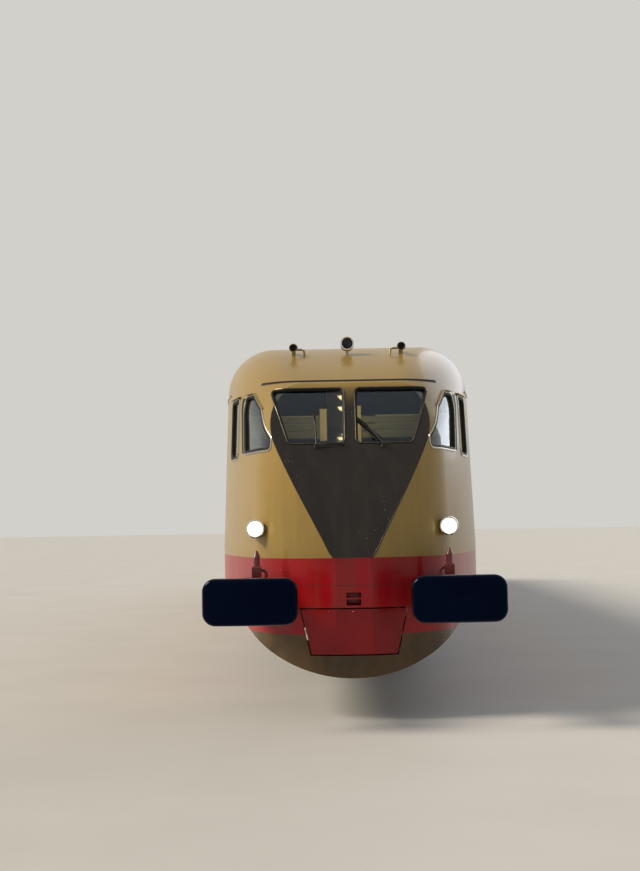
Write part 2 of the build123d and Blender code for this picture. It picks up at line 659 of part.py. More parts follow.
# Lamps, red lamp-iron castings and roof fittings
LAMP_X = 885
LAMP_HEIGHT = 1657
LAMP_RADIUS = 84
LAMP_LENS = 66
LAMP_FRONT = 340
CASTING_X = 860
CASTING_HALF = 42
CASTING_U = (60, 140)
CASTING_SHOULDER = 1330
CASTING_TOP = 1465
CAP_HEIGHT = 60
CAP_RADII = (34, 9)
PIPE_RADIUS = 14
PIPE_X = 775
PIPE_HEIGHT = 1290
PIPE_BEND = 34


def rod_along(x, height, radius, y0, y1):
    """Round bar along the car."""
    return Pos(x, (y0 + y1) / 2, up(height)) * Rot(90, 0, 0) * Cylinder(radius, y1 - y0)


def make_lamps():
    """Round headlamps whose buckets stand out of the curved nose, and their lenses."""
    bucket = rod_along(LAMP_X, LAMP_HEIGHT, LAMP_RADIUS, behind(LAMP_FRONT), behind(1100)) - OUTER
    bucket -= rod_along(LAMP_X, LAMP_HEIGHT, LAMP_LENS, behind(LAMP_FRONT) - 1, behind(LAMP_FRONT) + 25)
    lens = rod_along(LAMP_X, LAMP_HEIGHT, LAMP_LENS, behind(LAMP_FRONT) + 5, behind(LAMP_FRONT) + 25)
    parts["headlamp_buckets"] = Compound(both_ends(both_sides(bucket)))
    parts["headlamp_lenses"] = Compound(both_ends(both_sides(lens)))
    low = BUFFER_HEIGHT + CASING_HEIGHT / 2
    y0, y1 = (behind(u) for u in CASTING_U)
    body = block(CASTING_X - CASTING_HALF, CASTING_X + CASTING_HALF, y0, y1, low, CASTING_SHOULDER)
    body = chamfer(body.edges().group_by(Axis.Z)[-1], 16)
    middle = (y0 + y1) / 2
    post_top = CASTING_TOP - CAP_HEIGHT
    post = Pos(CASTING_X, middle, up((low + post_top) / 2)) * Cylinder(CAP_RADII[0] - 6, post_top - low)
    cap = Pos(CASTING_X, middle, up(CASTING_TOP - CAP_HEIGHT / 2)) * Cone(*CAP_RADII, CAP_HEIGHT)
    # A bent pipe leaves the side of the casting and turns down into the buffer casing.
    route = FilletPolyline((CASTING_X, middle, up(PIPE_HEIGHT)), (PIPE_X, middle, up(PIPE_HEIGHT)),
                           (PIPE_X, middle, up(low - 30)), radius=PIPE_BEND)
    pipe = sweep(Plane(origin=route @ 0, z_dir=route % 0) * Circle(PIPE_RADIUS), path=route)
    casing = Plane.XZ * (Pos(BUFFER_X, up(BUFFER_HEIGHT)) * RectangleRounded(CASING_WIDTH, CASING_HEIGHT,
                                                                            CASING_CORNER))
    casing = Pos(0, behind(CASING_ROOT), 0) * extrude(casing, behind(CASING_ROOT) - BUFFER_FACE)
    parts["lamp_irons"] = Compound(both_ends(both_sides(body + post + cap + pipe - casing)))


make_lamps()

# Roof fittings: horns on the brow, then ventilators along the roof
HORN_U = 1570
HORN_X = 543
HORN_RADIUS = 44
HORN_THROAT = 18
HORN_LENGTH = 240
HORN_LIFT = 66
HORN_CUP = 30
HORN_LIP = 8
HORN_FLARE = 150
DRUM_RADIUS = 68
DRUM_LIFT = 110
DRUM_HALF = 60
VENT_LENGTH = 340
VENT_WIDTH = 260
VENT_HEIGHT = 90
VENT_ROUND = 60
VENT_TOP_ROUND = 45
VENT_X = 700
VENT_PITCH = 2200
VENT_COUNT = 8


def make_roof_fittings():
    """Two horns and a drum lamp on each brow, ventilators in a row."""
    pieces = []
    seat = roof_height_at(HORN_U)
    y = behind(HORN_U)
    mouth = -HORN_LENGTH / 2
    # Half section of a horn: radius from its axis, distance along it.
    flare = [
        Line((0, mouth + HORN_CUP), (HORN_RADIUS - HORN_LIP, mouth)),
        Line((HORN_RADIUS - HORN_LIP, mouth), (HORN_RADIUS, mouth)),
        ThreePointArc((HORN_RADIUS, mouth), (HORN_THROAT + 6, mouth + HORN_FLARE * 0.47),
                      (HORN_THROAT, mouth + HORN_FLARE)),
        Line((HORN_THROAT, mouth + HORN_FLARE), (HORN_THROAT, -mouth)),
        Line((HORN_THROAT, -mouth), (0, -mouth)),
        Line((0, -mouth), (0, mouth + HORN_CUP)),
    ]
    bell = Pos(HORN_X, y, up(seat + HORN_LIFT)) * revolve(make_face(flare), Axis.Y)
    foot = block(HORN_X - 20, HORN_X + 20, y - 10, y + 70, seat - 200, seat + HORN_LIFT)
    pieces += both_sides((bell + foot) - OUTER)
    drum = rod_along(0, seat + DRUM_LIFT, DRUM_RADIUS, y - DRUM_HALF, y + DRUM_HALF)
    drum -= rod_along(0, seat + DRUM_LIFT, DRUM_RADIUS - 12, y - DRUM_HALF, y - DRUM_HALF + 40)
    foot = block(-14, 14, y - 40, y + 40, seat - 200, seat + DRUM_LIFT - DRUM_RADIUS + 10)
    pieces.append((drum + foot) - OUTER)
    parts["roof_horns"] = Compound(both_ends(pieces))
    vents = []
    for i in range(VENT_COUNT):
        y = (i - (VENT_COUNT - 1) / 2) * VENT_PITCH - 1000
        for x in (-VENT_X, VENT_X):
            vent = block(x - VENT_WIDTH / 2, x + VENT_WIDTH / 2, y - VENT_LENGTH / 2, y + VENT_LENGTH / 2,
                         ROOF_HEIGHT - 200, ROOF_HEIGHT + VENT_HEIGHT)
            vent = fillet(vent.edges().filter_by(Axis.Z), VENT_ROUND)
            vent = fillet(vent.edges().group_by(Axis.Z)[-1], VENT_TOP_ROUND)
            vents.append(vent - OUTER)
    return vents


VENTS = make_roof_fittings()

# Pantograph: a diamond of equal arms, so every joint keeps a constant ratio
PANTO_Y = 6000
PANTO_ARM = 1200
PANTO_HALF_BASE = 160
PANTO_FOLDED = 4
PANTO_BASE_Z = 3820
PANTO_LOWER_X = 500
PANTO_UPPER_X = 560
PANTO_PIN = 16
PANTO_TUBE = 20
PANTO_CLEARANCE = 0.1
HEAD_LENGTH = 1800
HEAD_SPREAD = 130
RAIL_DROP = 110
RAIL_DEPTH = 50
BASE_RAIL_X = 560
BASE_RAIL_Y = 620
BASE_OVERHANG = 80
RAIL_HALF = 30
LUG_HALF = (15, 30)
LUG_DROP = 80
LUG_RISE = 30
LUG_X = PANTO_UPPER_X + 10
SHAFT_PAST = 30
COLLAR_HALF = 20
PANTO_CUT = 800
KNEE_COLLAR = 14
HEAD_COLLAR = 8
STRIP_LIFT = 90
STRIP_HALF = 30
STRIP_DEPTH = 30
TIP_LENGTH = 250
TIP_DROP = 160
TIP_BLEND = 15
HANGER_X = 60
HANGER_BAR = (60, 95)
REAR_PIN_CLEARANCE = 2
INSULATOR_RADII = (38, 72)
INSULATOR_FOOT = 42
INSULATOR_SHEDS = 3


def bar(start, end, radius):
    """Round tube between two points."""
    start, end = Vector(*start), Vector(*end)
    path = end - start
    plane = Plane(origin=start, z_dir=path)
    return plane * Cylinder(radius, path.length, align=(Align.CENTER, Align.CENTER, Align.MIN))


def cross_pin(y, z, x0, x1, radius):
    """Round bar across the car at a pivot."""
    return bar((x0, y, z), (x1, y, z), radius)


def insulator(height):
    """Porcelain post with sloping sheds above its foot."""
    core, shed = INSULATOR_RADII
    pitch = (height - INSULATOR_FOOT) / INSULATOR_SHEDS
    half = [(0, 0), (core, 0), (core, INSULATOR_FOOT)]
    for i in range(INSULATOR_SHEDS):
        low = INSULATOR_FOOT + i * pitch
        half += [(shed, low), (shed, low + 6), (core, low + pitch * 0.7)]
    half += [(core, height), (0, height)]
    return revolve(Plane.XZ * make_face(Polyline(*half, close=True)), Axis.Z)


def make_pantograph():
    """Base on insulators, two lower frames, two upper frames and the collector head."""
    angle = math.radians(PANTO_FOLDED)
    base_z = up(PANTO_BASE_Z)
    knee_z = base_z + PANTO_ARM * math.sin(angle)
    head_z = base_z + 2 * PANTO_ARM * math.sin(angle)
    reach = PANTO_ARM * math.cos(angle)

    base = []
    rail_low, rail_high = PANTO_BASE_Z - RAIL_DROP, PANTO_BASE_Z - RAIL_DROP + RAIL_DEPTH
    reach_y = BASE_RAIL_Y + BASE_OVERHANG
    lug_x, lug_y = LUG_HALF
    for x in (-BASE_RAIL_X, BASE_RAIL_X):
        base.append(block(x - RAIL_HALF, x + RAIL_HALF, PANTO_Y - reach_y, PANTO_Y + reach_y,
                          rail_low, rail_high))
    for y in (-BASE_RAIL_Y, BASE_RAIL_Y):
        base.append(block(-BASE_RAIL_X - RAIL_HALF, BASE_RAIL_X + RAIL_HALF,
                          PANTO_Y + y - RAIL_HALF, PANTO_Y + y + RAIL_HALF, rail_low, rail_high))
    for y in (-PANTO_HALF_BASE, PANTO_HALF_BASE):
        for x in (-LUG_X, LUG_X):
            base.append(block(x - lug_x, x + lug_x, PANTO_Y + y - lug_y, PANTO_Y + y + lug_y,
                              PANTO_BASE_Z - LUG_DROP, PANTO_BASE_Z + LUG_RISE))
    frame = base[0]
    for piece in base[1:]:
        frame += piece
    for y in (-PANTO_HALF_BASE, PANTO_HALF_BASE):
        frame -= cross_pin(PANTO_Y + y, base_z, -PANTO_CUT, PANTO_CUT, PANTO_PIN + PANTO_CLEARANCE)
    parts["pantograph_base"] = frame
    insulators = []
    for x in (-BASE_RAIL_X, BASE_RAIL_X):
        for y in (-BASE_RAIL_Y, BASE_RAIL_Y):
            foot = ROOF_HEIGHT - 20
            post = Pos(x, PANTO_Y + y, up(foot)) * insulator(rail_low - foot)
            insulators.append(post - OUTER)
    parts["pantograph_insulators"] = Compound(insulators)

    shaft = PANTO_UPPER_X + SHAFT_PAST
    for name, way in (("front", -1), ("rear", 1)):
        pivot_y = PANTO_Y + way * PANTO_HALF_BASE
        knee_y = pivot_y + way * reach
        lower = cross_pin(pivot_y, base_z, -shaft, shaft, PANTO_PIN)
        lower += cross_pin(knee_y, knee_z, -shaft, shaft, PANTO_PIN)
        for x in (-PANTO_LOWER_X, PANTO_LOWER_X):
            lower += bar((x, pivot_y, base_z), (x, knee_y, knee_z), PANTO_TUBE)
        parts[f"pantograph_lower_{name}"] = lower
        upper = None
        for x in (-PANTO_UPPER_X, PANTO_UPPER_X):
            tube = bar((x, knee_y, knee_z), (x, pivot_y, head_z), PANTO_TUBE)
            tube += cross_pin(knee_y, knee_z, x - COLLAR_HALF, x + COLLAR_HALF, PANTO_TUBE + KNEE_COLLAR)
            tube += cross_pin(pivot_y, head_z, x - COLLAR_HALF, x + COLLAR_HALF, PANTO_TUBE + HEAD_COLLAR)
            upper = tube if upper is None else upper + tube
        end = PANTO_UPPER_X + COLLAR_HALF
        upper += cross_pin(pivot_y, head_z, -end, end, PANTO_PIN)
        upper -= cross_pin(knee_y, knee_z, -PANTO_CUT, PANTO_CUT, PANTO_PIN + PANTO_CLEARANCE)
        parts[f"pantograph_upper_{name}"] = upper

    # Each strip is level in the middle, with its two ends bent down.
    hanger = PANTO_UPPER_X - HANGER_X
    tip, bend = HEAD_LENGTH / 2, HEAD_LENGTH / 2 - TIP_LENGTH
    half = [(tip, -TIP_DROP), (tip, STRIP_DEPTH - TIP_DROP), (bend + TIP_BLEND, STRIP_DEPTH)]
    outline = [(bend, 0)] + half
    outline += [(-x, z) for x, z in reversed(outline)]
    head_height = head_z - up(0)
    head = None
    for y in (-HEAD_SPREAD - PANTO_HALF_BASE, HEAD_SPREAD + PANTO_HALF_BASE):
        strip = Plane.XZ * make_face(Polyline(*outline, close=True))
        strip = Pos(0, PANTO_Y + y, head_z + STRIP_LIFT) * extrude(strip, STRIP_HALF, both=True)
        head = strip if head is None else head + strip
    past = HEAD_SPREAD + PANTO_HALF_BASE + 20
    bar_low, bar_high = HANGER_BAR
    for x in (-hanger, hanger):
        head += block(x - lug_x, x + lug_x, PANTO_Y - past, PANTO_Y + past,
                      head_height + bar_low, head_height + bar_high)
        for y in (-PANTO_HALF_BASE, PANTO_HALF_BASE):
            head += block(x - lug_x, x + lug_x, PANTO_Y + y - lug_y, PANTO_Y + y + lug_y,
                          head_height - LUG_RISE, head_height + bar_low + 10)
    for y, clearance in ((-PANTO_HALF_BASE, PANTO_CLEARANCE), (PANTO_HALF_BASE, REAR_PIN_CLEARANCE)):
        head -= cross_pin(PANTO_Y + y, head_z, -PANTO_CUT, PANTO_CUT, PANTO_PIN + clearance)
    parts["pantograph_head"] = head
    clear = block(-900, 900, PANTO_Y - 1600, PANTO_Y + 1600, 0, 5000)
    kept = [vent for vent in VENTS if not (vent & clear).solids()]
    parts["roof_vents"] = Compound(kept)


make_pantograph()

# Bogies
SIDE_FRAME_X = 1000
SIDE_FRAME_WIDTH = 120
SIDE_FRAME_REACH = 380
SIDE_FRAME_LOW = 730
SIDE_FRAME_HIGH = 880
SIDE_FRAME_BELLY = 640
BELLY_HALF = (690, 925)
SIDE_FRAME_TIP = 800
SIDE_FRAME_ROUND = 30
GUIDE_DEPTH = 30
GUIDE_CHEEK = (52, 84)
GUIDE_LOW = WHEEL_RADIUS - 100
TRANSOM_BOTTOM = 680
TRANSOM_HALF = 260
BOX_SIZE = 250
BOX_WIDTH = 190
AXLE_RADIUS = 80
SEAT_RADIUS = 95
HUB_RADIUS = 130
WEB_RADIUS = 180
COLLAR_GAP = 5
JOURNAL_SHORT = 20
WHEEL_INNER = GAUGE / 2 - 38
FLANGE_RADIUS = WHEEL_RADIUS + FLANGE_DEPTH
WHEEL_PROFILE = (
    # distance outwards from the inner face of the tyre, radius
    (-60, AXLE_RADIUS), (-40, HUB_RADIUS), (20, HUB_RADIUS), (45, WEB_RADIUS), (50, WHEEL_RADIUS - 90),
    (0, WHEEL_RADIUS - 60), (0, FLANGE_RADIUS - 10), (12, FLANGE_RADIUS), (24, FLANGE_RADIUS - 6),
    (38, WHEEL_RADIUS), (TYRE_WIDTH, WHEEL_RADIUS - 6), (TYRE_WIDTH, WHEEL_RADIUS - 60),
    (75, WHEEL_RADIUS - 85), (72, WEB_RADIUS + 10), (110, HUB_RADIUS), (110, SEAT_RADIUS),
)
COVER_RADIUS = 92
COVER_DEPTH = 26

# Leaf springs between the axle boxes and the side frames
LEAF_COUNT = 7
LEAF_THICKNESS = 12
LEAF_WIDTH = 80
LEAF_LOW = 612
LONGEST_LEAF = 700
LEAF_STEP = 84
BUCKLE = (70, 92)

# Motors hung between a transom and the axle, on which each turns by two bearings
MOTOR_OFFSET = 440
MOTOR_HEIGHT = 500
MOTOR_RADIUS = 245
MOTOR_HALF_LENGTH = 400
MOTOR_BEARING_X = 330
MOTOR_BEARING_WIDTH = 110
MOTOR_BEARING_RADIUS = 120
MOTOR_NOSE_WIDTH = 260


def make_wheelset():
    """Axle, two wheels with flanged tyres and two journals, turned in one profile."""
    end = JOURNAL_CENTRES / 2 + BOX_WIDTH / 2 - JOURNAL_SHORT
    collar = JOURNAL_CENTRES / 2 - BOX_WIDTH / 2 - COLLAR_GAP
    half = [(0, 0), (0, AXLE_RADIUS)] + [(WHEEL_INNER + x, radius) for x, radius in WHEEL_PROFILE]
    half += [(collar, SEAT_RADIUS), (collar, JOURNAL_RADIUS), (end, JOURNAL_RADIUS), (end, 0)]
    face = make_face(Polyline(*half, close=True))
    right = revolve(face, Axis.X)
    return right + mirror(right, Plane.YZ)


def side_frame(x, centre):
    """Pressed side frame of a bogie, deep in the middle and lighter at its ends."""
    end = HALF_BASE + SIDE_FRAME_REACH
    inner, outer = BELLY_HALF
    half = [(end, SIDE_FRAME_HIGH), (end, SIDE_FRAME_TIP), (end - 120, SIDE_FRAME_LOW),
            (outer, SIDE_FRAME_LOW), (inner, SIDE_FRAME_BELLY)]
    points = half + [(-d, h) for d, h in reversed(half)]
    face = Plane.YZ * make_face(Polyline(*[(centre + d, up(h)) for d, h in points], close=True))
    face = fillet(face.vertices(), SIDE_FRAME_ROUND)
    return Pos(x - SIDE_FRAME_WIDTH / 2, 0, 0) * extrude(face, SIDE_FRAME_WIDTH)


def leaf_spring(x, y):
    """Pack of leaves held by a buckle on the axle box, its longest leaf under the side frame."""
    low = WHEEL_RADIUS + BOX_SIZE / 2
    half_buckle, buckle_width = BUCKLE[0] / 2, BUCKLE[1] / 2
    top = LEAF_LOW + LEAF_COUNT * LEAF_THICKNESS
    spring = block(x - buckle_width, x + buckle_width, y - half_buckle, y + half_buckle, low, top + 6)
    for i in range(LEAF_COUNT):
        half = (LONGEST_LEAF - (LEAF_COUNT - 1 - i) * LEAF_STEP) / 2
        level = LEAF_LOW + i * LEAF_THICKNESS
        spring += block(x - LEAF_WIDTH / 2, x + LEAF_WIDTH / 2, y - half, y + half,
                        level, level + LEAF_THICKNESS)
    for way in (-1, 1):
        y0, y1 = sorted((y + way * LONGEST_LEAF / 2, y + way * (LONGEST_LEAF / 2 - 40)))
        spring += block(x - LEAF_WIDTH / 2, x + LEAF_WIDTH / 2, y0, y1, top, SIDE_FRAME_LOW)
    return spring


def make_bogies():
    """Welded frame round the pivot, axle boxes with leaf springs, and a motor at each axle."""
    wheelset = make_wheelset()
    axle_z = up(WHEEL_RADIUS)
    number = 1
    for name, centre in (("front", -HALF_CENTRES), ("rear", HALF_CENTRES)):
        frame = block(-SIDE_FRAME_X, SIDE_FRAME_X, centre - TRANSOM_HALF, centre + TRANSOM_HALF,
                      TRANSOM_BOTTOM, SIDE_FRAME_HIGH)
        for x in (-SIDE_FRAME_X, SIDE_FRAME_X):
            frame += side_frame(x, centre)
        for x in (-SIDE_BEARER_X, SIDE_BEARER_X):
            frame += side_bearer(x, centre, SIDE_FRAME_HIGH, SIDE_BEARER_LOW - FIT_GAP)
        frame -= Pos(0, centre, up(800)) * Cylinder(PIVOT_RADIUS + PIVOT_CLEARANCE, 600)
        boxes, springs = [], []
        for y in (centre - HALF_BASE, centre + HALF_BASE):
            for x in (-JOURNAL_CENTRES / 2, JOURNAL_CENTRES / 2):
                box = block(x - BOX_WIDTH / 2, x + BOX_WIDTH / 2, y - BOX_SIZE / 2, y + BOX_SIZE / 2,
                            WHEEL_RADIUS - BOX_SIZE / 2, WHEEL_RADIUS + BOX_SIZE / 2)
                box = fillet(box.edges().filter_by(Axis.X), 40)
                face_x = x + math.copysign(BOX_WIDTH / 2, x)
                x0, x1 = sorted((face_x, face_x + math.copysign(COVER_DEPTH, x)))
                box += cross_pin(y, axle_z, x0, x1, COVER_RADIUS)
                inward = -1 if x > 0 else 1
                bore_start, bore_end = x + inward * (BOX_WIDTH / 2 + 1), x - inward * (BOX_WIDTH / 2 - 15)
                bore = cross_pin(y, axle_z, bore_start, bore_end, JOURNAL_RADIUS + JOURNAL_CLEARANCE)
                boxes.append(box - bore)
                for guide in (-1, 1):
                    near = y + guide * (BOX_SIZE / 2 + FIT_GAP)
                    y0, y1 = sorted((near, near + guide * GUIDE_DEPTH))
                    for cheek in (-1, 1):
                        x0, x1 = sorted(x + cheek * edge for edge in GUIDE_CHEEK)
                        frame += block(x0, x1, y0, y1, GUIDE_LOW, SIDE_FRAME_LOW)
                springs.append(leaf_spring(x, y))
            wheel = Pos(0, y, axle_z) * wheelset
            parts[f"wheelset_{number}"] = wheel
            number += 1
        parts[f"bogie_frame_{name}"] = frame
        parts[f"axle_boxes_{name}"] = Compound(boxes)
        parts[f"leaf_springs_{name}"] = Compound(springs)
        motors = []
        for way in (-1, 1):
            axle_y = centre + way * HALF_BASE
            y = axle_y - way * MOTOR_OFFSET
            motor = cross_pin(y, up(MOTOR_HEIGHT), -MOTOR_HALF_LENGTH, MOTOR_HALF_LENGTH, MOTOR_RADIUS)
            for x in (-MOTOR_BEARING_X, MOTOR_BEARING_X):
                x0, x1 = x - MOTOR_BEARING_WIDTH / 2, x + MOTOR_BEARING_WIDTH / 2
                motor += cross_pin(axle_y, axle_z, x0, x1, MOTOR_BEARING_RADIUS)
                motor += block(x0, x1, *sorted((y, axle_y)), WHEEL_RADIUS - 70, WHEEL_RADIUS + 70)
            motor += block(-MOTOR_NOSE_WIDTH / 2, MOTOR_NOSE_WIDTH / 2,
                           *sorted((y, centre + way * (TRANSOM_HALF + FIT_GAP))),
                           TRANSOM_BOTTOM + 20, TRANSOM_BOTTOM + 100)
            motors.append(motor - cross_pin(axle_y, axle_z, -800, 800, AXLE_RADIUS + JOURNAL_CLEARANCE))
        parts[f"traction_motors_{name}"] = Compound(motors)


make_bogies()

# Equipment under the floor and steps below the doors
CASES = (
    # x0, x1, y0, y1, low
    (-1150, -520, -1150, 1150, 500),
    (520, 1150, -3450, -1900, 480),
    (520, 1150, -1650, 1300, 500),
    (520, 1150, 1700, 3450, 520),
)
TANK_X = -690
TANK_RADIUS = 190
TANK_DROP = 30
TANK_OVERHANG = 200
TANK_STRAP = 60
STEP_X0 = 1080
STEPS = (
    # outer x, low
    (1330, 700),
    (1250, 400),
)
STEP_PLATE = 30
STEP_HALF = 380


def make_underfloor():
    """Cases and air tanks hung from the underframe, and steps in the skirt below each door."""
    cases = []
    for x0, x1, y0, y1, low in CASES:
        case = block(x0, x1, y0, y1, low, FRAME_LOW)
        cases.append(case & hull(SKIRT + FIT_GAP))
    parts["underfloor_cases"] = Compound(cases)
    tanks = []
    tank_height = FRAME_LOW - TANK_RADIUS - TANK_DROP
    for first in (1, -2):
        y0, y1 = first * CROSS_PITCH, (first + 1) * CROSS_PITCH
        tank = rod_along(TANK_X, tank_height, TANK_RADIUS, y0 - TANK_OVERHANG, y1 + TANK_OVERHANG)
        tank = fillet(tank.edges(), 90)
        for y in (y0, y1):
            tank += block(TANK_X - TANK_STRAP, TANK_X + TANK_STRAP, y - TANK_STRAP / 2, y + TANK_STRAP / 2,
                          tank_height, FRAME_LOW)
        tanks.append(tank)
    parts["air_tanks"] = Compound(tanks)
    steps = []
    for y in (-DOOR_CENTRE, DOOR_CENTRE):
        lowest = min(low for outer, low in STEPS)
        narrow = min(outer for outer, low in STEPS)
        step = None
        for outer, low in STEPS:
            tread = block(STEP_X0, outer, y - STEP_HALF, y + STEP_HALF, low, low + STEP_PLATE)
            step = tread if step is None else step + tread
        for side in (-STEP_HALF, STEP_HALF - STEP_PLATE):
            step += block(STEP_X0, narrow, y + side, y + side + STEP_PLATE, lowest, FRAME_LOW)
        step &= hull(SKIRT + FIT_GAP) + block(-FAR, FAR, -FAR, FAR, 0, WALL_FOOT - STEP_HEADROOM)
        steps += both_sides(step)
    parts["door_steps"] = Compound(steps)


make_underfloor()

for name, shape in parts.items():
    export_step(shape, f"parts/{name}.step")
    print(name, len(shape.solids()), round(shape.volume / 1e9, 4))
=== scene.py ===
# %% [markdown]
# # A streamlined electric railcar
# The CAD model of the car is loaded as a fixed frame: its shell, doors, bogies and pantograph are already
# there at their real size, in metres, with +Y towards the rear cab and +Z up. This lesson gives every
# surface its finish and adds what is too thin or too small for CAD: rubber seals, polished trims, wipers,
# lamp rims, handles, brake gear, pantograph bracing, springs and upholstery.
# The default scene is emptied first, so that nothing but the car counts as the object.

import json
import math

import bmesh
import bpy
from mathutils import Matrix, Vector
from mathutils.bvhtree import BVHTree

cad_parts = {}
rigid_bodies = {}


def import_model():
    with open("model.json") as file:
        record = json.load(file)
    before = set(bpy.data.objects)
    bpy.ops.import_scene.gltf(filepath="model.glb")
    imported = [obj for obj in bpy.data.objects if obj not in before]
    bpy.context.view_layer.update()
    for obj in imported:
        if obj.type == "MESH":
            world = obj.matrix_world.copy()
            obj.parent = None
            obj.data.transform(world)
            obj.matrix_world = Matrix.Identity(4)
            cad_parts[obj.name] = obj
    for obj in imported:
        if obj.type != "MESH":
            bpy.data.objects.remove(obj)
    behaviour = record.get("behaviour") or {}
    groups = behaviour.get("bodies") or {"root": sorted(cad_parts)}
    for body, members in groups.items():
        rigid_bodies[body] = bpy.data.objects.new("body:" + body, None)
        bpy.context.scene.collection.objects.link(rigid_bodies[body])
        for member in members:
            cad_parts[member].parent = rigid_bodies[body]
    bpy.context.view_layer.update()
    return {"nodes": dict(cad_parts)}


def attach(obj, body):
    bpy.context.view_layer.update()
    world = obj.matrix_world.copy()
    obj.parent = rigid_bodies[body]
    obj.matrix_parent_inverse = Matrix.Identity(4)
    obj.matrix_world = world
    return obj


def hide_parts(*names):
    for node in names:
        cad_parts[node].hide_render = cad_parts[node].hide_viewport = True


for left_over in list(bpy.data.objects):
    bpy.data.objects.remove(left_over)
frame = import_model()
nodes = frame["nodes"]

# %% [markdown]
# ## Driving sizes
# Heights are easiest to think of above the level that the wheels roll on, and distances along the nose
# behind its tip, just as on a drawing of the real car. Two small functions turn them into the frame's own Z
# and Y, so that every later number can be read off such a drawing.

# %% Driving sizes
ROLLING_LEVEL = 0.030
NOSE_TIP = -13.380


def up(height):
    """Z of a height above the level that the wheels roll on."""
    return ROLLING_LEVEL + height


def behind(distance):
    """Y of a plane this far behind the tip of the first nose."""
    return NOSE_TIP + distance


print("rolling level", up(0), "nose tip", behind(0))

# %% [markdown]
# ## The camera
# The photograph was taken from the car's middle line, 11.5 m in front of the nose, at eye height. The car's
# long level lines meet a little right of and below the picture's middle, which gives the camera's small
# pitch and yaw, and its upright edges lean by one degree, which gives the roll. The whole frame is used:
# a long side of 36 mm and a focal length of 53.7 mm make 1300 pixels of focal length at 871 pixels.

# %% Camera
FOCAL_PIXELS = 1300
FRAME_HEIGHT = 871
VANISHING_POINT = (335, 522)
FRAME_CENTRE = (320, 435.5)
CAMERA_PLACE = (-0.14, -24.93, 1.74)
CAMERA_ROLL = math.radians(-1.0)
SENSOR = 36
CLIP_END = 500

camera_data = bpy.data.cameras.new("Camera")
camera_data.sensor_width = SENSOR
camera_data.lens = FOCAL_PIXELS * SENSOR / FRAME_HEIGHT
camera_data.clip_end = CLIP_END
camera = bpy.data.objects.new("Camera", camera_data)
bpy.context.scene.collection.objects.link(camera)
pitch = math.atan((VANISHING_POINT[1] - FRAME_CENTRE[1]) / FOCAL_PIXELS)
yaw = math.atan((VANISHING_POINT[0] - FRAME_CENTRE[0]) / FOCAL_PIXELS)
aim = Matrix.Rotation(yaw, 4, "Z") @ Matrix.Rotation(math.pi / 2 + pitch, 4, "X")
aim = aim @ Matrix.Rotation(CAMERA_ROLL, 4, "Z")
camera.matrix_world = Matrix.Translation(CAMERA_PLACE) @ aim
bpy.context.scene.camera = camera
print("camera pitch and yaw", round(math.degrees(pitch), 2), round(math.degrees(yaw), 2))

# %% [markdown]
# ## Helpers for materials
# A material here is a Principled shader with a few nodes in front of it. One function turns a hex colour,
# as a painter would name it, into Blender's linear numbers, and one adds any node with its settings and
# links. What is the same all over a surface goes straight onto the shader's own sockets, because a number
# that reaches them through nodes is lost when the model is exported.

# %% Material helpers


def linear(hex_colour, alpha=1.0):
    """Linear RGBA of an sRGB hex colour."""
    values = [int(hex_colour[i:i + 2], 16) / 255 for i in (1, 3, 5)]
    return tuple(v / 12.92 if v <= 0.04045 else ((v + 0.055) / 1.055) ** 2.4 for v in values) + (alpha,)


def add(mat, kind, inputs=None, **settings):
    """A shader node with its settings, its input values and its links."""
    node = mat.node_tree.nodes.new("ShaderNode" + kind)
    for name, value in settings.items():
        setattr(node, name, value)
    for key, value in (inputs or {}).items():
        if isinstance(value, bpy.types.NodeSocket):
            mat.node_tree.links.new(value, node.inputs[key])
        else:
            node.inputs[key].default_value = value
    return node


def start(name, roughness, metallic=0.0, **sockets):
    """A new material and its shader, with the numbers that are the same all over it."""
    mat = bpy.data.materials.new(name)
    mat.use_nodes = True
    shader = mat.node_tree.nodes["Principled BSDF"]
    shader.inputs["Roughness"].default_value = roughness
    shader.inputs["Metallic"].default_value = metallic
    for key, value in sockets.items():
        shader.inputs[key.replace("_", " ")].default_value = value
    return mat, shader


def link(mat, output, shader, socket):
    """Feed a shader's socket."""
    mat.node_tree.links.new(output, shader.inputs[socket])


print("helpers ready")

# %% [markdown]
# ## Patches and bumps
# No real surface is one flat colour, and no plate is quite flat. Both come from noise here, because stains
# and dents have no regular shape. Object coordinates are used throughout: on the CAD nodes they are metres
# in the car's own frame, so a pattern can be given its real size and a paint line its real height.

# %% Patches and bumps


def patches(mat, first, second, size, sharpness=0.25, detail=4.0):
    """Colour that wanders between two, in patches of this many metres."""
    place = add(mat, "TexCoord").outputs["Object"]
    noise = add(mat, "TexNoise", {"Vector": place, "Scale": 1 / size, "Detail": detail})
    spread = add(mat, "MapRange", {"Value": noise.outputs["Fac"], "From Min": 0.5 - sharpness,
                                   "From Max": 0.5 + sharpness})
    colours = {"Factor": spread.outputs["Result"], 6: linear(first), 7: linear(second)}
    return add(mat, "Mix", colours, data_type="RGBA").outputs[2]


def bumps(mat, shader, size, height, detail=2.0):
    """Noise in the surface: its size across and its height, both in metres."""
    place = add(mat, "TexCoord").outputs["Object"]
    noise = add(mat, "TexNoise", {"Vector": place, "Scale": 1 / size, "Detail": detail})
    bump = add(mat, "Bump", {"Height": noise.outputs["Fac"], "Distance": height, "Strength": 1.0})
    link(mat, bump.outputs["Normal"], shader, "Normal")


print("patches and bumps ready")

# %% [markdown]
# ## The livery's colours
# The shell is welded steel, filled, rubbed down and sprayed with oil-bound enamel. The colours meet in
# straight lines by height: khaki above, a deep red band round the ends and along the skirt, and a dirty
# khaki belly. The sloping facet that carries the windscreens is dark brown grey. Each coat has two close
# colours, because old enamel fades and stains unevenly.

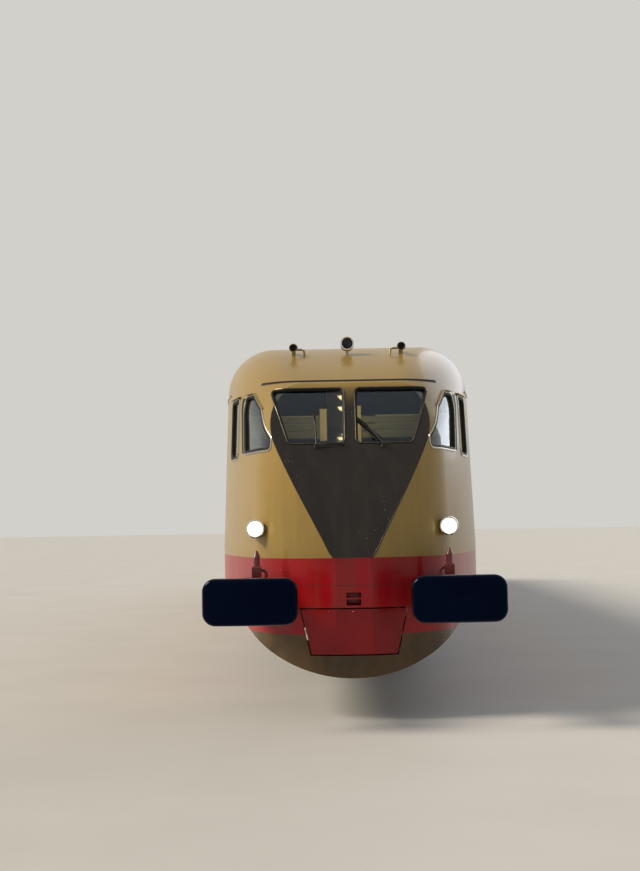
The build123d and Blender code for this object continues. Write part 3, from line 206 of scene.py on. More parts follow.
# %% Colours of the livery
KHAKI, KHAKI_WORN = "#9E8243", "#A88C4E"
FACET_BROWN, FACET_BROWN_WORN = "#2A2421", "#231E1C"
RED_DEEP, RED = "#8E0A16", "#B0101A"
BELLY, BELLY_DIRT = "#70552F", "#3B2D20"
RED_TOP = 1.390
RED_BOTTOM = 0.715
PAINT_EDGE = 0.002


def past_edge(mat, value, level, soft):
    """A mask that is 0 below a level and 1 above it, over a soft width."""
    ends = {"Value": value, "From Min": level - soft, "From Max": level + soft}
    return add(mat, "MapRange", ends).outputs["Result"]


def painted(mat, height, on_facet):
    """The four coats one over the other: khaki, the dark facet, the red band and the belly."""
    red_and_below = past_edge(mat, height, RED_TOP, PAINT_EDGE)
    belly_only = past_edge(mat, height, RED_BOTTOM, PAINT_EDGE)
    coats = [(patches(mat, FACET_BROWN, FACET_BROWN_WORN, 0.6), on_facet)]
    for coat, above in ((patches(mat, RED_DEEP, RED, 0.5), red_and_below),
                        (patches(mat, BELLY, BELLY_DIRT, 0.35, 0.3, 8.0), belly_only)):
        coats.append((coat, add(mat, "Math", {0: 1.0, 1: above}, operation="SUBTRACT").outputs[0]))
    colour = patches(mat, KHAKI, KHAKI_WORN, 0.9)
    for coat, mask in coats:
        colour = add(mat, "Mix", {"Factor": mask, 6: colour, 7: coat}, data_type="RGBA").outputs[2]
    return colour


print("paint lines at", RED_TOP, RED_BOTTOM)

# %% [markdown]
# ## Where the dark facet is
# On the real car the facet is one sheet, rolled to an arc and welded into the round nose. The shader finds
# it by what it is: the surface that lies on that arc, seen from the side. So the paint ends exactly at the
# crease, with no mask to draw. The same arc crosses the flanks far behind the nose, so a second edge
# leaves out what lies further back than the facet. Near the top of the windscreens the brown fades to
# khaki: this fade is painted light, a gradient that stands in for light falling on the facet from above.

# %% The facet's mask
FACET = ((-0.035, 1.390), (0.237, 2.317), (0.700, 3.020))
# Heights over which the brown fades to khaki: painted light from above.
FACET_LIGHT_FADE = (2.76, 3.14)
ON_ARC, OFF_ARC = 0.002, 0.005


def facet_arc():
    """Centre distance, centre height and radius of the arc through the facet's three points."""
    (u1, h1), (u2, h2), (u3, h3) = FACET
    a, b, c, d = u2 - u1, h2 - h1, u3 - u1, h3 - h1
    e, f = (a * (u1 + u2) + b * (h1 + h2)) / 2, (c * (u1 + u3) + d * (h1 + h3)) / 2
    u0, h0 = (e * d - b * f) / (a * d - b * c), (a * f - e * c) / (a * d - b * c)
    return u0, h0, math.hypot(u1 - u0, h1 - h0)


def facet_mask(mat, height, distance):
    """1 on the facet, fading out at its top as painted light, and 0 elsewhere, from height and distance
    behind the tip.
    """
    u0, h0, radius = facet_arc()
    point = add(mat, "CombineXYZ", {"X": distance, "Y": height}).outputs[0]
    reach = add(mat, "VectorMath", {0: point, 1: (u0, h0, 0)}, operation="DISTANCE").outputs["Value"]
    off = add(mat, "Math", {0: reach, 1: radius}, operation="SUBTRACT").outputs[0]
    off = add(mat, "Math", {0: off}, operation="ABSOLUTE").outputs[0]
    near = add(mat, "MapRange", {"Value": off, "From Min": ON_ARC, "From Max": OFF_ARC,
                                 "To Min": 1.0, "To Max": 0.0})
    # The fade is painted light: the facet turns lighter upwards as if lit from above.
    painted_light_fade = add(mat, "MapRange", {"Value": height, "From Min": FACET_LIGHT_FADE[0], "From Max": FACET_LIGHT_FADE[1],
                                 "To Min": 1.0, "To Max": 0.0}, interpolation_type="SMOOTHSTEP")
    dark = add(mat, "Math", {0: near.outputs["Result"], 1: painted_light_fade.outputs["Result"]}, operation="MULTIPLY")
    beyond = past_edge(mat, distance, FACET[2][0], 0.05)
    return add(mat, "Math", {0: dark.outputs[0], 1: beyond}, operation="SUBTRACT", use_clamp=True).outputs[0]


print("facet arc", [round(value, 3) for value in facet_arc()])

# %% [markdown]
# ## Dust and chips
# Rain draws dust down the flanks in streaks a hand wide, and more of it stays low down. Stones chip the
# enamel to its pale primer, in spots of a few millimetres that come in groups. Real chips are 2 to 5 mm
# across; they are drawn at up to 14 mm so that they show in the render. Two noises are added for them, a
# fine one and a coarse one, and only where both are high is there a chip.

# %% Dust and chips
STREAKS = (9.0, 9.0, 0.8)
DUST = "#5B5040"
DUST_LOW, DUST_HIGH = (0.35, 0.45), (2.40, 0.10)
PRIMER = "#CDC3A6"
CHIP_SIZE, CHIP_GROUPS, CHIPPED_FROM, CHIP_COVER = 0.014, 0.45, 1.41, 0.45


def dusted(mat, colour, place, height):
    """The colour with streaks of dust, which thin out from the first height to the second."""
    stretched = add(mat, "VectorMath", {0: place, 1: STREAKS}, operation="MULTIPLY")
    streaks = add(mat, "TexNoise", {"Vector": stretched.outputs[0], "Scale": 1.0, "Detail": 5.0})
    most = add(mat, "MapRange", {"Value": height, "From Min": DUST_LOW[0], "From Max": DUST_HIGH[0],
                                 "To Min": DUST_LOW[1], "To Max": DUST_HIGH[1]}).outputs["Result"]
    share = add(mat, "MapRange", {"Value": streaks.outputs["Fac"], "From Min": 0.45, "From Max": 0.80,
                                  "To Max": most}).outputs["Result"]
    return add(mat, "Mix", {"Factor": share, 6: colour, 7: linear(DUST)}, data_type="RGBA").outputs[2]


def chipped(mat, colour, place):
    """The colour with chips down to the primer."""
    spots = add(mat, "TexNoise", {"Vector": place, "Scale": 1 / CHIP_SIZE, "Detail": 1.0})
    groups = add(mat, "TexNoise", {"Vector": place, "Scale": 1 / CHIP_GROUPS, "Detail": 1.0})
    sum_of = add(mat, "Math", {0: spots.outputs["Fac"], 1: groups.outputs["Fac"]}, operation="ADD")
    high = past_edge(mat, sum_of.outputs[0], CHIPPED_FROM, 0.01)
    share = add(mat, "Math", {0: high, 1: CHIP_COVER}, operation="MULTIPLY").outputs[0]
    return add(mat, "Mix", {"Factor": share, 6: colour, 7: linear(PRIMER)}, data_type="RGBA").outputs[2]


print("chips of", CHIP_SIZE * 1000, "mm")

# %% [markdown]
# ## The sprayed enamel
# To the eye sprayed enamel is a smooth coloured film under a thin clear gloss, over plates that are never
# quite flat: the reflections waver over a third of a metre, by about a millimetre. One shader paints the
# whole shell, because a paint line that comes from the height runs on from plate to plate without a step.

# %% Sprayed enamel
PLATE_WAVE, PLATE_DEPTH = 0.32, 0.0011


def make_livery():
    """The whole livery in one shader, the same at both ends of the car."""
    mat, shader = start("sprayed_enamel", 0.30, Coat_Weight=0.16, Coat_Roughness=0.05,
                        Specular_IOR_Level=0.22)
    place = add(mat, "TexCoord").outputs["Object"]
    split = add(mat, "SeparateXYZ", {"Vector": place})
    height = add(mat, "Math", {0: split.outputs["Z"], 1: -ROLLING_LEVEL}, operation="ADD").outputs[0]
    along = add(mat, "Math", {0: split.outputs["Y"]}, operation="ABSOLUTE").outputs[0]
    distance = add(mat, "Math", {0: -NOSE_TIP, 1: along}, operation="SUBTRACT").outputs[0]
    colour = painted(mat, height, facet_mask(mat, height, distance))
    colour = chipped(mat, dusted(mat, colour, place, height), place)
    link(mat, colour, shader, "Base Color")
    bumps(mat, shader, PLATE_WAVE, PLATE_DEPTH, 1.0)
    return mat


livery = make_livery()
print("livery", livery.name)

# %% [markdown]
# ## Painted finishes
# Smaller parts were painted by brush or by gun, each in one colour. What tells them apart is the gloss and
# the ground under it: a coat over a casting follows its sandy skin, and a coat over sheet stays smooth. Each
# is named for the real finish, starts from its usual roughness and was then matched to the photograph.

# %% Painted finishes


def plain(name, first, second, size, roughness, metallic=0.0, grit=None, **sockets):
    """A finish with two close colours in patches and, if asked, a grit of (size, height)."""
    mat, shader = start(name, roughness, metallic, **sockets)
    link(mat, patches(mat, first, second, size), shader, "Base Color")
    if grit:
        bumps(mat, shader, *grit)
    return mat


# Red enamel on the coupling cover: the same film as the body, a little redder where it was touched up.
hatch_enamel = plain("hatch_enamel", "#98101A", "#7E0A14", 0.3, 0.28, Coat_Weight=0.14, Coat_Roughness=0.05,
                     Specular_IOR_Level=0.22)
# Blue-black buffer enamel: nearly black by itself, it shows by its cold, wavy gloss.
buffer_enamel = plain("buffer_enamel", "#03060F", "#060B18", 0.2, 0.14, grit=(0.25, 0.0012),
                      Specular_IOR_Level=0.32, Specular_Tint=linear("#3F62B8"))
# Brushed enamel on sand castings: the sand's 1 mm grain is drawn ten times as coarse, so that it shows.
casting_enamel = plain("brushed_red_enamel_on_castings", "#7E0A12", "#5A0710", 0.06, 0.35,
                       grit=(0.012, 0.0010), Coat_Weight=0.4, Coat_Roughness=0.15)
# Oxide red on drawn tube: an even, half-dull coat.
panto_enamel = plain("oxide_red_enamel_on_tube", "#6E1A14", "#7E251B", 0.12, 0.38, grit=(0.01, 0.0002))
# Cream enamel inside: a mild gloss that takes up the lamps' colour.
panel_enamel = plain("cream_interior_enamel", "#A59C80", "#968D71", 0.5, 0.35, Coat_Weight=0.3,
                     Coat_Roughness=0.1)
# Navy lining: matt, against glare in the driver's eyes. The same navy on the door posts' lower parts is
# painted shade.
navy_lining_and_painted_shade = plain("navy_cab_lining_and_painted_shade", "#02040F", "#040817", 0.3, 0.6, Specular_IOR_Level=0.1)
# Grey textured enamel on the desk: fine-grained and half-dull.
desk_enamel = plain("grey_desk_enamel", "#20262A", "#2A3135", 0.2, 0.4, grit=(0.004, 0.0002))
# Roof boards: once painted, now bare, grey and rough.
roof_grime = plain("roof_board_grey", "#6F6452", "#5A5143", 0.2, 0.7, grit=(0.02, 0.0008))
print("painted finishes", len(bpy.data.materials))

# %% [markdown]
# ## Metals
# Trims are aluminium, polished or left to dull, fittings are brass or chromed brass, and everything under
# the floor is iron with grease and brake dust on it. A clean metal needs only its colour and a roughness;
# greasy iron and painted steel look like paint, so they aren't metallic.

# %% Metals
# Polished aluminium: a bright, slightly warm metal, left a little uneven by the buffing wheel.
aluminium = plain("polished_aluminium", "#BDB8AA", "#A9A496", 0.30, 0.26, 1.0, grit=(0.01, 0.00004))
# The same metal left to dull in the rubber's groove.
lock_strip = plain("dull_aluminium_lock_strip", "#6F695A", "#4E4A3F", 0.06, 0.30, 1.0, grit=(0.01, 0.00015))
# Chrome: nearly a mirror.
chrome = plain("chromed_brass", "#E6E2DA", "#D2CCC2", 0.08, 0.08, 1.0)
# Cast brass: yellow, browned by the weather.
brass = plain("cast_brass", "#A8966A", "#7C6C48", 0.03, 0.34, 1.0, grit=(0.01, 0.0002))
# Drawn copper: browned, smooth.
copper = plain("drawn_copper", "#9A5B3A", "#7A4229", 0.02, 0.35, 1.0)
# Chassis black: a thin dull paint over rolled steel.
black_iron = plain("chassis_black_on_steel", "#1B1A19", "#2A2623", 0.15, 0.55, grit=(0.03, 0.0006))
# Greasy cast iron: brown-black and rough, with stains a hand across.
gear_iron = plain("greasy_cast_iron", "#1D1917", "#352B22", 0.08, 0.60, grit=(0.02, 0.0008))
print("with metals", len(bpy.data.materials))

# %% [markdown]
# ## Rubber, carbon, porcelain, leather and linoleum
# None of these is a metal or a paint: they are coloured through, and their surface comes from the mould, the
# glaze or the hide. Moulded rubber is dull, glazed porcelain has a hard wet gloss, and leather a soft one.

# %% Other finishes
# Moulded rubber: nearly black, without a shine; its skin is smooth to a fifth of a millimetre.
rubber = plain("moulded_epdm_rubber", "#0B0B0B", "#151413", 0.05, 0.55, grit=(0.004, 0.0002),
               Specular_IOR_Level=0.22)
# Soot black for the seams and the gauge needles, and painted shade in the brow slot and in the bells of the
# horns and roof lamp: as good as no light comes back.
black_and_painted_shade = plain("soot_black_and_painted_shade", "#050505", "#0A0909", 0.05, 0.6)
# Pressed carbon: dark grey with a faint sheen where the wire runs.
carbon = plain("pressed_carbon_strip", "#17171A", "#26262A", 0.03, 0.42, grit=(0.006, 0.0003))
# Glazed porcelain: brown under clear glass.
porcelain = plain("brown_glazed_porcelain", "#4A2113", "#5E2C19", 0.05, 0.12, Coat_Weight=1.0,
                  Coat_Roughness=0.03)
# Seat leather: the 1 mm grain of the hide is drawn at 3 mm.
leather = plain("red_brown_seat_leather", "#4A1C12", "#5C2819", 0.05, 0.42, grit=(0.003, 0.0003))
# Linoleum: even, with a worn wax gloss.
lino = plain("brown_linoleum", "#3A2318", "#4A2E20", 0.04, 0.5)
print("all plain finishes", len(bpy.data.materials))

# %% [markdown]
# ## Glass
# Laminated safety glass is clear, slightly green and very smooth. A real refracting pane would keep the
# lamps' light out of the cab, because the renderer doesn't bend shadow rays, so the pane lets shadow rays
# pass straight through and stays a proper glossy, refracting glass for the eye. A faint smear comes from
# noise in the roughness. The headlamp glasses glow by themselves: the photograph shows both lamps lit.

# %% Glass
SMEAR = 0.05


def make_glass(name, tint, see_through):
    """A clear pane: glass for the eye, and open to shadow rays and to bounced light."""
    mat, shader = start(name, 0.0, IOR=1.50, Transmission_Weight=1.0, Specular_IOR_Level=0.30,
                        Specular_Tint=linear("#BCC7DE"))
    shader.inputs["Base Color"].default_value = linear(tint)
    place = add(mat, "TexCoord").outputs["Object"]
    smear = add(mat, "TexNoise", {"Vector": place, "Scale": 3.0, "Detail": 6.0})
    rough = add(mat, "MapRange", {"Value": smear.outputs["Fac"], "To Min": 0.0, "To Max": SMEAR})
    link(mat, rough.outputs["Result"], shader, "Roughness")
    clear = add(mat, "BsdfTransparent", {"Color": linear(see_through)})
    rays = add(mat, "LightPath")
    open_to = add(mat, "Math", {0: rays.outputs["Is Shadow Ray"], 1: rays.outputs["Is Diffuse Ray"]},
                  operation="MAXIMUM")
    mix = add(mat, "MixShader", {0: open_to.outputs[0], 1: shader.outputs[0], 2: clear.outputs[0]})
    output = mat.node_tree.nodes["Material Output"]
    mat.node_tree.links.new(mix.outputs[0], output.inputs["Surface"])
    return mat


window_glass = make_glass("laminated_safety_glass", "#CBD8D6", "#D4DEDA")
# Fluted headlamp glass over a lit bulb: warm white all over.
lamp_glass = plain("lit_fluted_lamp_glass", "#FFF6E4", "#FFFFFF", 0.02, 0.15, Coat_Weight=0.5,
                   Emission_Color=linear("#FFF1D6"), Emission_Strength=4.0)
# Opal glass of the ceiling lamps: softer and yellower.
cab_lamp = plain("lit_opal_cab_lamp", "#FFE9C4", "#FFF3DC", 0.03, 0.3, Emission_Color=linear("#FFD9A0"),
                 Emission_Strength=2.0)
print("glass ready", window_glass.name)

# %% [markdown]
# ## Wheel steel
# A wheelset is painted, but its tread is polished bright by rolling. Both finishes are in one shader, told
# apart by the distance from the nearest of the four axles, so that the bright ring follows the wheel's own
# shape and no second part is needed. The steel is metallic only where it is bright.

# %% Wheel steel
AXLE_PLACES = (5.900, 8.500)
AXLE_HEIGHT = 0.470
BRIGHT_FROM, BRIGHT_EDGE = 0.455, 0.004


def make_wheel_steel():
    """Painted wheel with a bright rolled tread."""
    mat, shader = start("painted_wheel_with_bright_tread", 0.42)
    split = add(mat, "SeparateXYZ", {"Vector": add(mat, "TexCoord").outputs["Object"]})
    along = add(mat, "Math", {0: split.outputs["Y"]}, operation="ABSOLUTE").outputs[0]
    offsets = []
    for place in AXLE_PLACES:
        off = add(mat, "Math", {0: along, 1: place}, operation="SUBTRACT").outputs[0]
        offsets.append(add(mat, "Math", {0: off}, operation="ABSOLUTE").outputs[0])
    nearest = add(mat, "Math", {0: offsets[0], 1: offsets[1]}, operation="MINIMUM").outputs[0]
    rise = add(mat, "Math", {0: split.outputs["Z"], 1: up(AXLE_HEIGHT)}, operation="SUBTRACT").outputs[0]
    spoke = add(mat, "CombineXYZ", {"X": nearest, "Y": rise}).outputs[0]
    reach = add(mat, "VectorMath", {0: spoke}, operation="LENGTH").outputs["Value"]
    bright = past_edge(mat, reach, BRIGHT_FROM, BRIGHT_EDGE)
    paint = patches(mat, "#2B2320", "#3A2E27", 0.1)
    tread = patches(mat, "#A8A19A", "#857A70", 0.06)
    colour = add(mat, "Mix", {"Factor": bright, 6: paint, 7: tread}, data_type="RGBA").outputs[2]
    link(mat, colour, shader, "Base Color")
    link(mat, bright, shader, "Metallic")
    bumps(mat, shader, 0.02, 0.0004)
    return mat


wheel_steel = make_wheel_steel()
print("wheel steel bright from", BRIGHT_FROM)

# %% [markdown]
# ## Dressing the CAD nodes
# The CAD solids come with exact normals, so they already look smooth and need only their finish. A table
# says which finish each one wears, by the start of its name, and the last line prints any node left bare.

# %% Finishes of the CAD nodes
FINISHES = {
    livery: ("roof", "nose_", "side_wall_", "door_front", "door_rear", "apron_", "skirt_"),
    hatch_enamel: ("drawgear_hatches",),
    buffer_enamel: ("buffer_plates", "buffer_casings"),
    casting_enamel: ("lamp_irons",),
    window_glass: ("cab_glass", "saloon_glass"),
    lamp_glass: ("headlamp_lenses",),
    chrome: ("headlamp_buckets",),
    brass: ("roof_horns",),
    black_iron: ("underframe", "underfloor_cases", "air_tanks", "door_steps", "centre_pivots"),
    gear_iron: ("bogie_frame", "axle_boxes", "leaf_springs", "traction_motors"),
    wheel_steel: ("wheelset_",),
    porcelain: ("pantograph_insulators",),
    panto_enamel: ("pantograph_base", "pantograph_lower", "pantograph_upper", "pantograph_head"),
    lino: ("floor",),
    panel_enamel: ("bulkheads",),
    leather: ("saloon_seats", "driver_chairs"),
    desk_enamel: ("driving_desks",),
}

for finish, prefixes in FINISHES.items():
    for node_name in nodes:
        if node_name.startswith(prefixes):
            mesh = nodes[node_name].data
            mesh.materials.clear()
            mesh.materials.append(finish)
worn = {finish.name for finish in FINISHES}
bare = [name for name, node in nodes.items() if node.data.materials[0].name not in worn]
print("nodes without a finish", bare)

# %% [markdown]
# ## Floor
# A plain pale floor lies at the level of the wheel flanges, 2 mm under the lowest point, so that nothing
# flickers against it. One big square is enough.

# %% Floor
FLOOR_SPAN = 400
FLOOR_LEVEL = -0.002
PALE = "#D2D0CB"

floor_mesh = bpy.data.meshes.new("studio_floor")
half_span = FLOOR_SPAN / 2
floor_mesh.from_pydata([(x * half_span, y * half_span, FLOOR_LEVEL)
                        for x, y in ((-1, -1), (1, -1), (1, 1), (-1, 1))], [], [(0, 1, 2, 3)])
studio_floor = bpy.data.objects.new("studio_floor", floor_mesh)
bpy.context.scene.collection.objects.link(studio_floor)
floor_mesh.materials.append(plain("matt_studio_floor", PALE, "#CBC9C4", 1.5, 0.8))
print("floor", FLOOR_SPAN, "m across")

# %% [markdown]
# ## Backdrop
# The world has two levels: a low, even light for the car, and a pale backdrop that only the camera, gloss
# and glass see. That way the background can be pale without pouring light on the car, and chrome and panes
# mirror the same background. The view transform is Standard, so a colour comes out as it is written.

# %% Backdrop
WORLD_LIGHT = 0.26

world = bpy.data.worlds.new("studio")
bpy.context.scene.world = world
world.use_nodes = True
world.node_tree.nodes.clear()
car_light = add(world, "Background", {"Color": linear("#FFFFFF"), "Strength": WORLD_LIGHT})
backdrop = add(world, "Background", {"Color": linear(PALE), "Strength": 1.0})
rays = add(world, "LightPath").outputs
seen = add(world, "Math", {0: rays["Is Camera Ray"], 1: rays["Is Transmission Ray"]}, operation="MAXIMUM")
seen = add(world, "Math", {0: seen.outputs[0], 1: rays["Is Glossy Ray"]}, operation="MAXIMUM")
either = add(world, "MixShader", {0: seen.outputs[0], 1: car_light.outputs[0], 2: backdrop.outputs[0]})
add(world, "OutputWorld", {"Surface": either.outputs[0]})
bpy.context.scene.view_settings.view_transform = "Standard"
print("backdrop", PALE, "world light", WORLD_LIGHT)

# %% [markdown]
# ## Lamps
# The key light is a broad, slightly warm sun from the upper left, where the photograph's left flank glows
# and the right one is in shade. A weak cold one from behind on the right lets the far side read. One
# small lamp in each cab stands in for the light of the saloon; it is hidden from the camera and from
# reflections, and only what it lights is seen.

# %% Lamps
SUNS = (
    # name, strength, softness in degrees, direction the light travels, colour
    ("key_from_upper_left", 3.0, 20, (0.79, 0.07, -0.61), "#FFF4E2"),
    ("fill_from_right_rear", 0.6, 40, (-0.45, -0.80, -0.40), "#EEF2FF"),
)
CAB_LIGHT_Y, CAB_LIGHT_HEIGHT, CAB_LIGHT_POWER, CAB_LIGHT_SIZE = 11.9, 2.85, 18, 0.10


def hang(name, lamp, colour):
    """An object for a lamp, with its colour."""
    lamp.color = linear(colour)[:3]
    holder = bpy.data.objects.new(name, lamp)
    bpy.context.scene.collection.objects.link(holder)
    return holder


for name, strength, softness, direction, colour in SUNS:
    sun = bpy.data.lights.new(name, "SUN")
    sun.energy = strength
    sun.angle = math.radians(softness)
    hang(name, sun, colour).rotation_euler = Vector(direction).to_track_quat("-Z", "Y").to_euler()
for name, y in (("front_cab_light", -CAB_LIGHT_Y), ("rear_cab_light", CAB_LIGHT_Y)):
    bulb = bpy.data.lights.new(name, "POINT")
    bulb.energy = CAB_LIGHT_POWER
    bulb.shadow_soft_size = CAB_LIGHT_SIZE
    holder = hang(name, bulb, "#FFE2B4")
    holder.location = (0, y, up(CAB_LIGHT_HEIGHT))
    for ray in ("visible_camera", "visible_glossy", "visible_transmission"):
        setattr(holder, ray, False)
print("lamps", len(bpy.data.lights))

# %% [markdown]
# ## Shapes as points and faces
# Every added piece starts as a simple pair: a list of points and a list of faces. Pairs can be joined,
# mirrored and moved as plain lists, which is quicker and safer than moving objects about. The car is the
# same on both sides and at both ends, so most pieces are drawn once and mirrored twice.

# %% Joining and mirroring shapes


def joined(*shapes):
    """Several shapes as one."""
    points, faces = [], []
    for shape_points, shape_faces in shapes:
        base = len(points)
        points += shape_points
        faces += [tuple(i + base for i in face) for face in shape_faces]
    return points, faces


def mirrored(shape, axis):
    """The shape's mirror image, across the car (axis 0) or end for end (axis 1)."""
    points, faces = shape
    flipped = [Vector([-c if i == axis else c for i, c in enumerate(p)]) for p in points]
    return flipped, [tuple(reversed(face)) for face in faces]


def both(shape, *axes):
    """The shape with its mirror images across each axis in turn."""
    for axis in axes:
        shape = joined(shape, mirrored(shape, axis))
    return shape


def moved(shape, offset, turn):
    """The shape turned about the origin, then moved."""
    points, faces = shape
    return [turn @ Vector(p) + Vector(offset) for p in points], faces


print("shapes can be joined and mirrored")

# %% [markdown]
# ## From a shape to a piece
# Only at the end does a shape become one object: a mesh with its normals turned outwards, smooth except
# where faces meet at more than 38 degrees, with a finish, riding on the body that carries it.

# %% One piece
SHARP_FROM = math.radians(38)


def piece(name, shape, finish, body="car"):
    """One object from a shape, with its finish, riding on a body."""
    points, faces = shape
    mesh = bpy.data.meshes.new(name)
    mesh.from_pydata([tuple(p) for p in points], [], faces)
    mesh.validate()
    shell = bmesh.new()
    shell.from_mesh(mesh)
    bmesh.ops.recalc_face_normals(shell, faces=shell.faces)
    shell.to_mesh(mesh)
    shell.free()
    mesh.materials.append(finish)
    mesh.polygons.foreach_set("use_smooth", [True] * len(mesh.polygons))
    mesh.set_sharp_from_angle(angle=SHARP_FROM)
    item = bpy.data.objects.new(name, mesh)
    bpy.context.scene.collection.objects.link(item)
    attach(item, body)
    print(name, len(points), "points", len(faces), "faces")
    return item


print("sharp from", round(math.degrees(SHARP_FROM)), "degrees")

# %% [markdown]
# ## Profiles along a path
# Rubbers, trims, gutters and seams were all drawn through a die or rolled: one section, the same all the
# way. So they are modelled as they are made, a section pushed along a path, with the skin's outward
# direction saying which way is up at each step. The ends of an open path are closed.

# %% Profiles along a path


def around(count):
    """This many equal angles in a full turn."""
    return [2 * math.pi * k / count for k in range(count)]


def ring_faces(rings, count, closed):
    """Quads between rings of points that follow one another."""
    faces = []
    last = rings if closed else rings - 1
    for i in range(last):
        j = (i + 1) % rings
        for k in range(count):
            m = (k + 1) % count
            faces.append((i * count + k, i * count + m, j * count + m, j * count + k))
    return faces


def swept(path, normals, profile, closed=True):
    """A profile swept along a path on the skin. Its columns are across the path and out of the skin."""
    points = []
    n = len(path)
    for i, (here, out) in enumerate(zip(path, normals)):
        before, after = path[i - 1], path[(i + 1) % n]
        if not closed:
            before, after = path[max(i - 1, 0)], path[min(i + 1, n - 1)]
        ahead = (after - before).normalized()
        side = ahead.cross(out).normalized()
        points += [here + side * a + out * b for a, b in profile]
    faces = ring_faces(n, len(profile), closed)
    if not closed:
        faces.append(tuple(range(len(profile))))
        faces.append(tuple(reversed(range((n - 1) * len(profile), n * len(profile)))))
    return points, faces


print("a closed path of 4 with a profile of 3 has", len(ring_faces(4, 3, True)), "faces")

# %% [markdown]
# ## Bars and turned parts
# Most small parts are bent bars or come from the lathe. A bar may change its thickness from point to point,
# and it keeps its section from twisting by carrying one direction along. A turned part is a list of
# distances and radii, as on a turner's drawing.

# %% Bars and turned parts


def tube(path, radius, sides=12):
    """A round bar along a path of points, with closed ends. The radius is one number or one a point."""
    path = [Vector(p) for p in path]
    points = []
    across = None
    for i, here in enumerate(path):
        ahead = (path[min(i + 1, len(path) - 1)] - path[max(i - 1, 0)]).normalized()
        if across is None:
            across = ahead.orthogonal().normalized()
        across = (across - ahead * across.dot(ahead)).normalized()
        other = ahead.cross(across)
        size = radius[i] if isinstance(radius, (list, tuple)) else radius
        points += [here + (across * math.cos(a) + other * math.sin(a)) * size for a in around(sides)]
    faces = ring_faces(len(path), sides, False)
    faces.append(tuple(reversed(range(sides))))
    faces.append(tuple(range((len(path) - 1) * sides, len(path) * sides)))
    return points, faces


def turned(profile, centre, axis, sides=32):
    """A profile of (distance along the axis, radius) turned about an axis through a point."""
    axis = Vector(axis).normalized()
    across = axis.orthogonal().normalized()
    other = axis.cross(across)
    points = []
    for distance, radius in profile:
        for angle in around(sides):
            spoke = across * math.cos(angle) + other * math.sin(angle)
            points.append(Vector(centre) + axis * distance + spoke * radius)
    return points, ring_faces(len(profile), sides, False)


print("a bar of 3 points has", len(tube(((0, 0, 0), (0, 0, 1), (0, 1, 1)), 0.1)[1]), "faces")

# %% [markdown]
# ## Blocks
# Boards, clips and shoes are blocks. Blender's own cube is stretched between two corners and its edges are
# bevelled by a real radius, since a sharp edge on wood or iron would catch no light.

# %% Blocks


def slab(low, high, bevel=0.004, segments=2):
    """A block with rounded edges between two corners."""
    low, high = Vector(low), Vector(high)
    bm = bmesh.new()
    bmesh.ops.create_cube(bm, size=1.0)
    for vertex in bm.verts:
        vertex.co = Vector([low[i] + (vertex.co[i] + 0.5) * (high[i] - low[i]) for i in range(3)])
    bmesh.ops.bevel(bm, geom=list(bm.edges), offset=bevel, segments=segments, affect="EDGES", profile=0.5)
    points = [v.co.copy() for v in bm.verts]
    faces = [tuple(v.index for v in face.verts) for face in bm.faces]
    bm.free()
    return points, faces


print("a plain block has", len(slab((0, 0, 0), (1, 1, 1))[1]), "faces")

# %% [markdown]
# ## Outlines of openings
# A window opening is a polygon with round corners, as the panel beater cuts it. The straight runs are cut
# into short steps too, so that an outline can follow a curved skin everywhere and not only at its corners.

# %% Outlines
CORNER_STEPS = 8


def dense_line(corners, step):
    """An open line cut into short steps."""
    line = []
    for here, there in zip(corners, corners[1:]):
        count = max(1, int((there - here).length / step))
        line += [here.lerp(there, k / count) for k in range(count)]
    return line


def rounded(corners, radius, step=0.04):
    """Points round a polygon with round corners, the straight runs divided into short steps."""
    corners = [Vector(c) for c in corners]
    outline = []
    for i, corner in enumerate(corners):
        back = (corners[i - 1] - corner).normalized()
        forth = (corners[(i + 1) % len(corners)] - corner).normalized()
        half = back.angle(forth) / 2
        reach = radius / math.tan(half)
        centre = corner + (back + forth).normalized() * (radius / math.sin(half))
        first, last = corner + back * reach, corner + forth * reach
        for k in range(CORNER_STEPS + 1):
            spoke = (first - centre).lerp(last - centre, k / CORNER_STEPS).normalized()
            outline.append(centre + spoke * radius)
    return dense_line(outline + outline[:1], step)


def grown(outline, distance):
    """The outline moved outwards by a distance in its own plane."""
    area = sum(a.x * b.y - b.x * a.y for a, b in zip(outline, outline[1:] + outline[:1]))
    way = 1 if area > 0 else -1
    result = []
    for i, here in enumerate(outline):
        ahead = (outline[(i + 1) % len(outline)] - outline[i - 1]).normalized()
        result.append(here + Vector((ahead.y, -ahead.x)) * distance * way)
    return result


print("a rounded square has", len(rounded(((0, 0), (1, 0), (1, 1), (0, 1)), 0.1)), "points")

# %% [markdown]
# ## The skin
# Seals, trims and seams lie on a skin that curves in every direction. Its nodes are put in one search tree,
# which answers where a ray meets them. Half the car is enough, because the rest is its mirror image.

# %% The skin
SKIN_NODES = ("nose_front", "roof", "side_wall_right", "skirt_right", "apron_front", "drawgear_hatches",
              "door_front_right", "door_rear_right")


def skin_of(names):
    """One search tree over the meshes of several nodes."""
    points, faces = [], []
    for name in names:
        base = len(points)
        mesh = nodes[name].data
        points += [vertex.co.copy() for vertex in mesh.vertices]
        faces += [tuple(i + base for i in polygon.vertices) for polygon in mesh.polygons]
    return BVHTree.FromPolygons(points, faces)


SKIN = skin_of(SKIN_NODES)
print("skin of", len(SKIN_NODES), "nodes")

# %% [markdown]
# ## Rays at the skin
# A ray from in front, from the side or from above finds the skin and its slope under any point of a
# drawing. So every outline below is a plain flat drawing: across and height for the windscreens, distance
# along and height for the sides. Shrinkwrap could do this too, but not one point at a time.

# %% Rays at the skin
AHEAD, ASIDE, ABOVE = -20, 4, 8


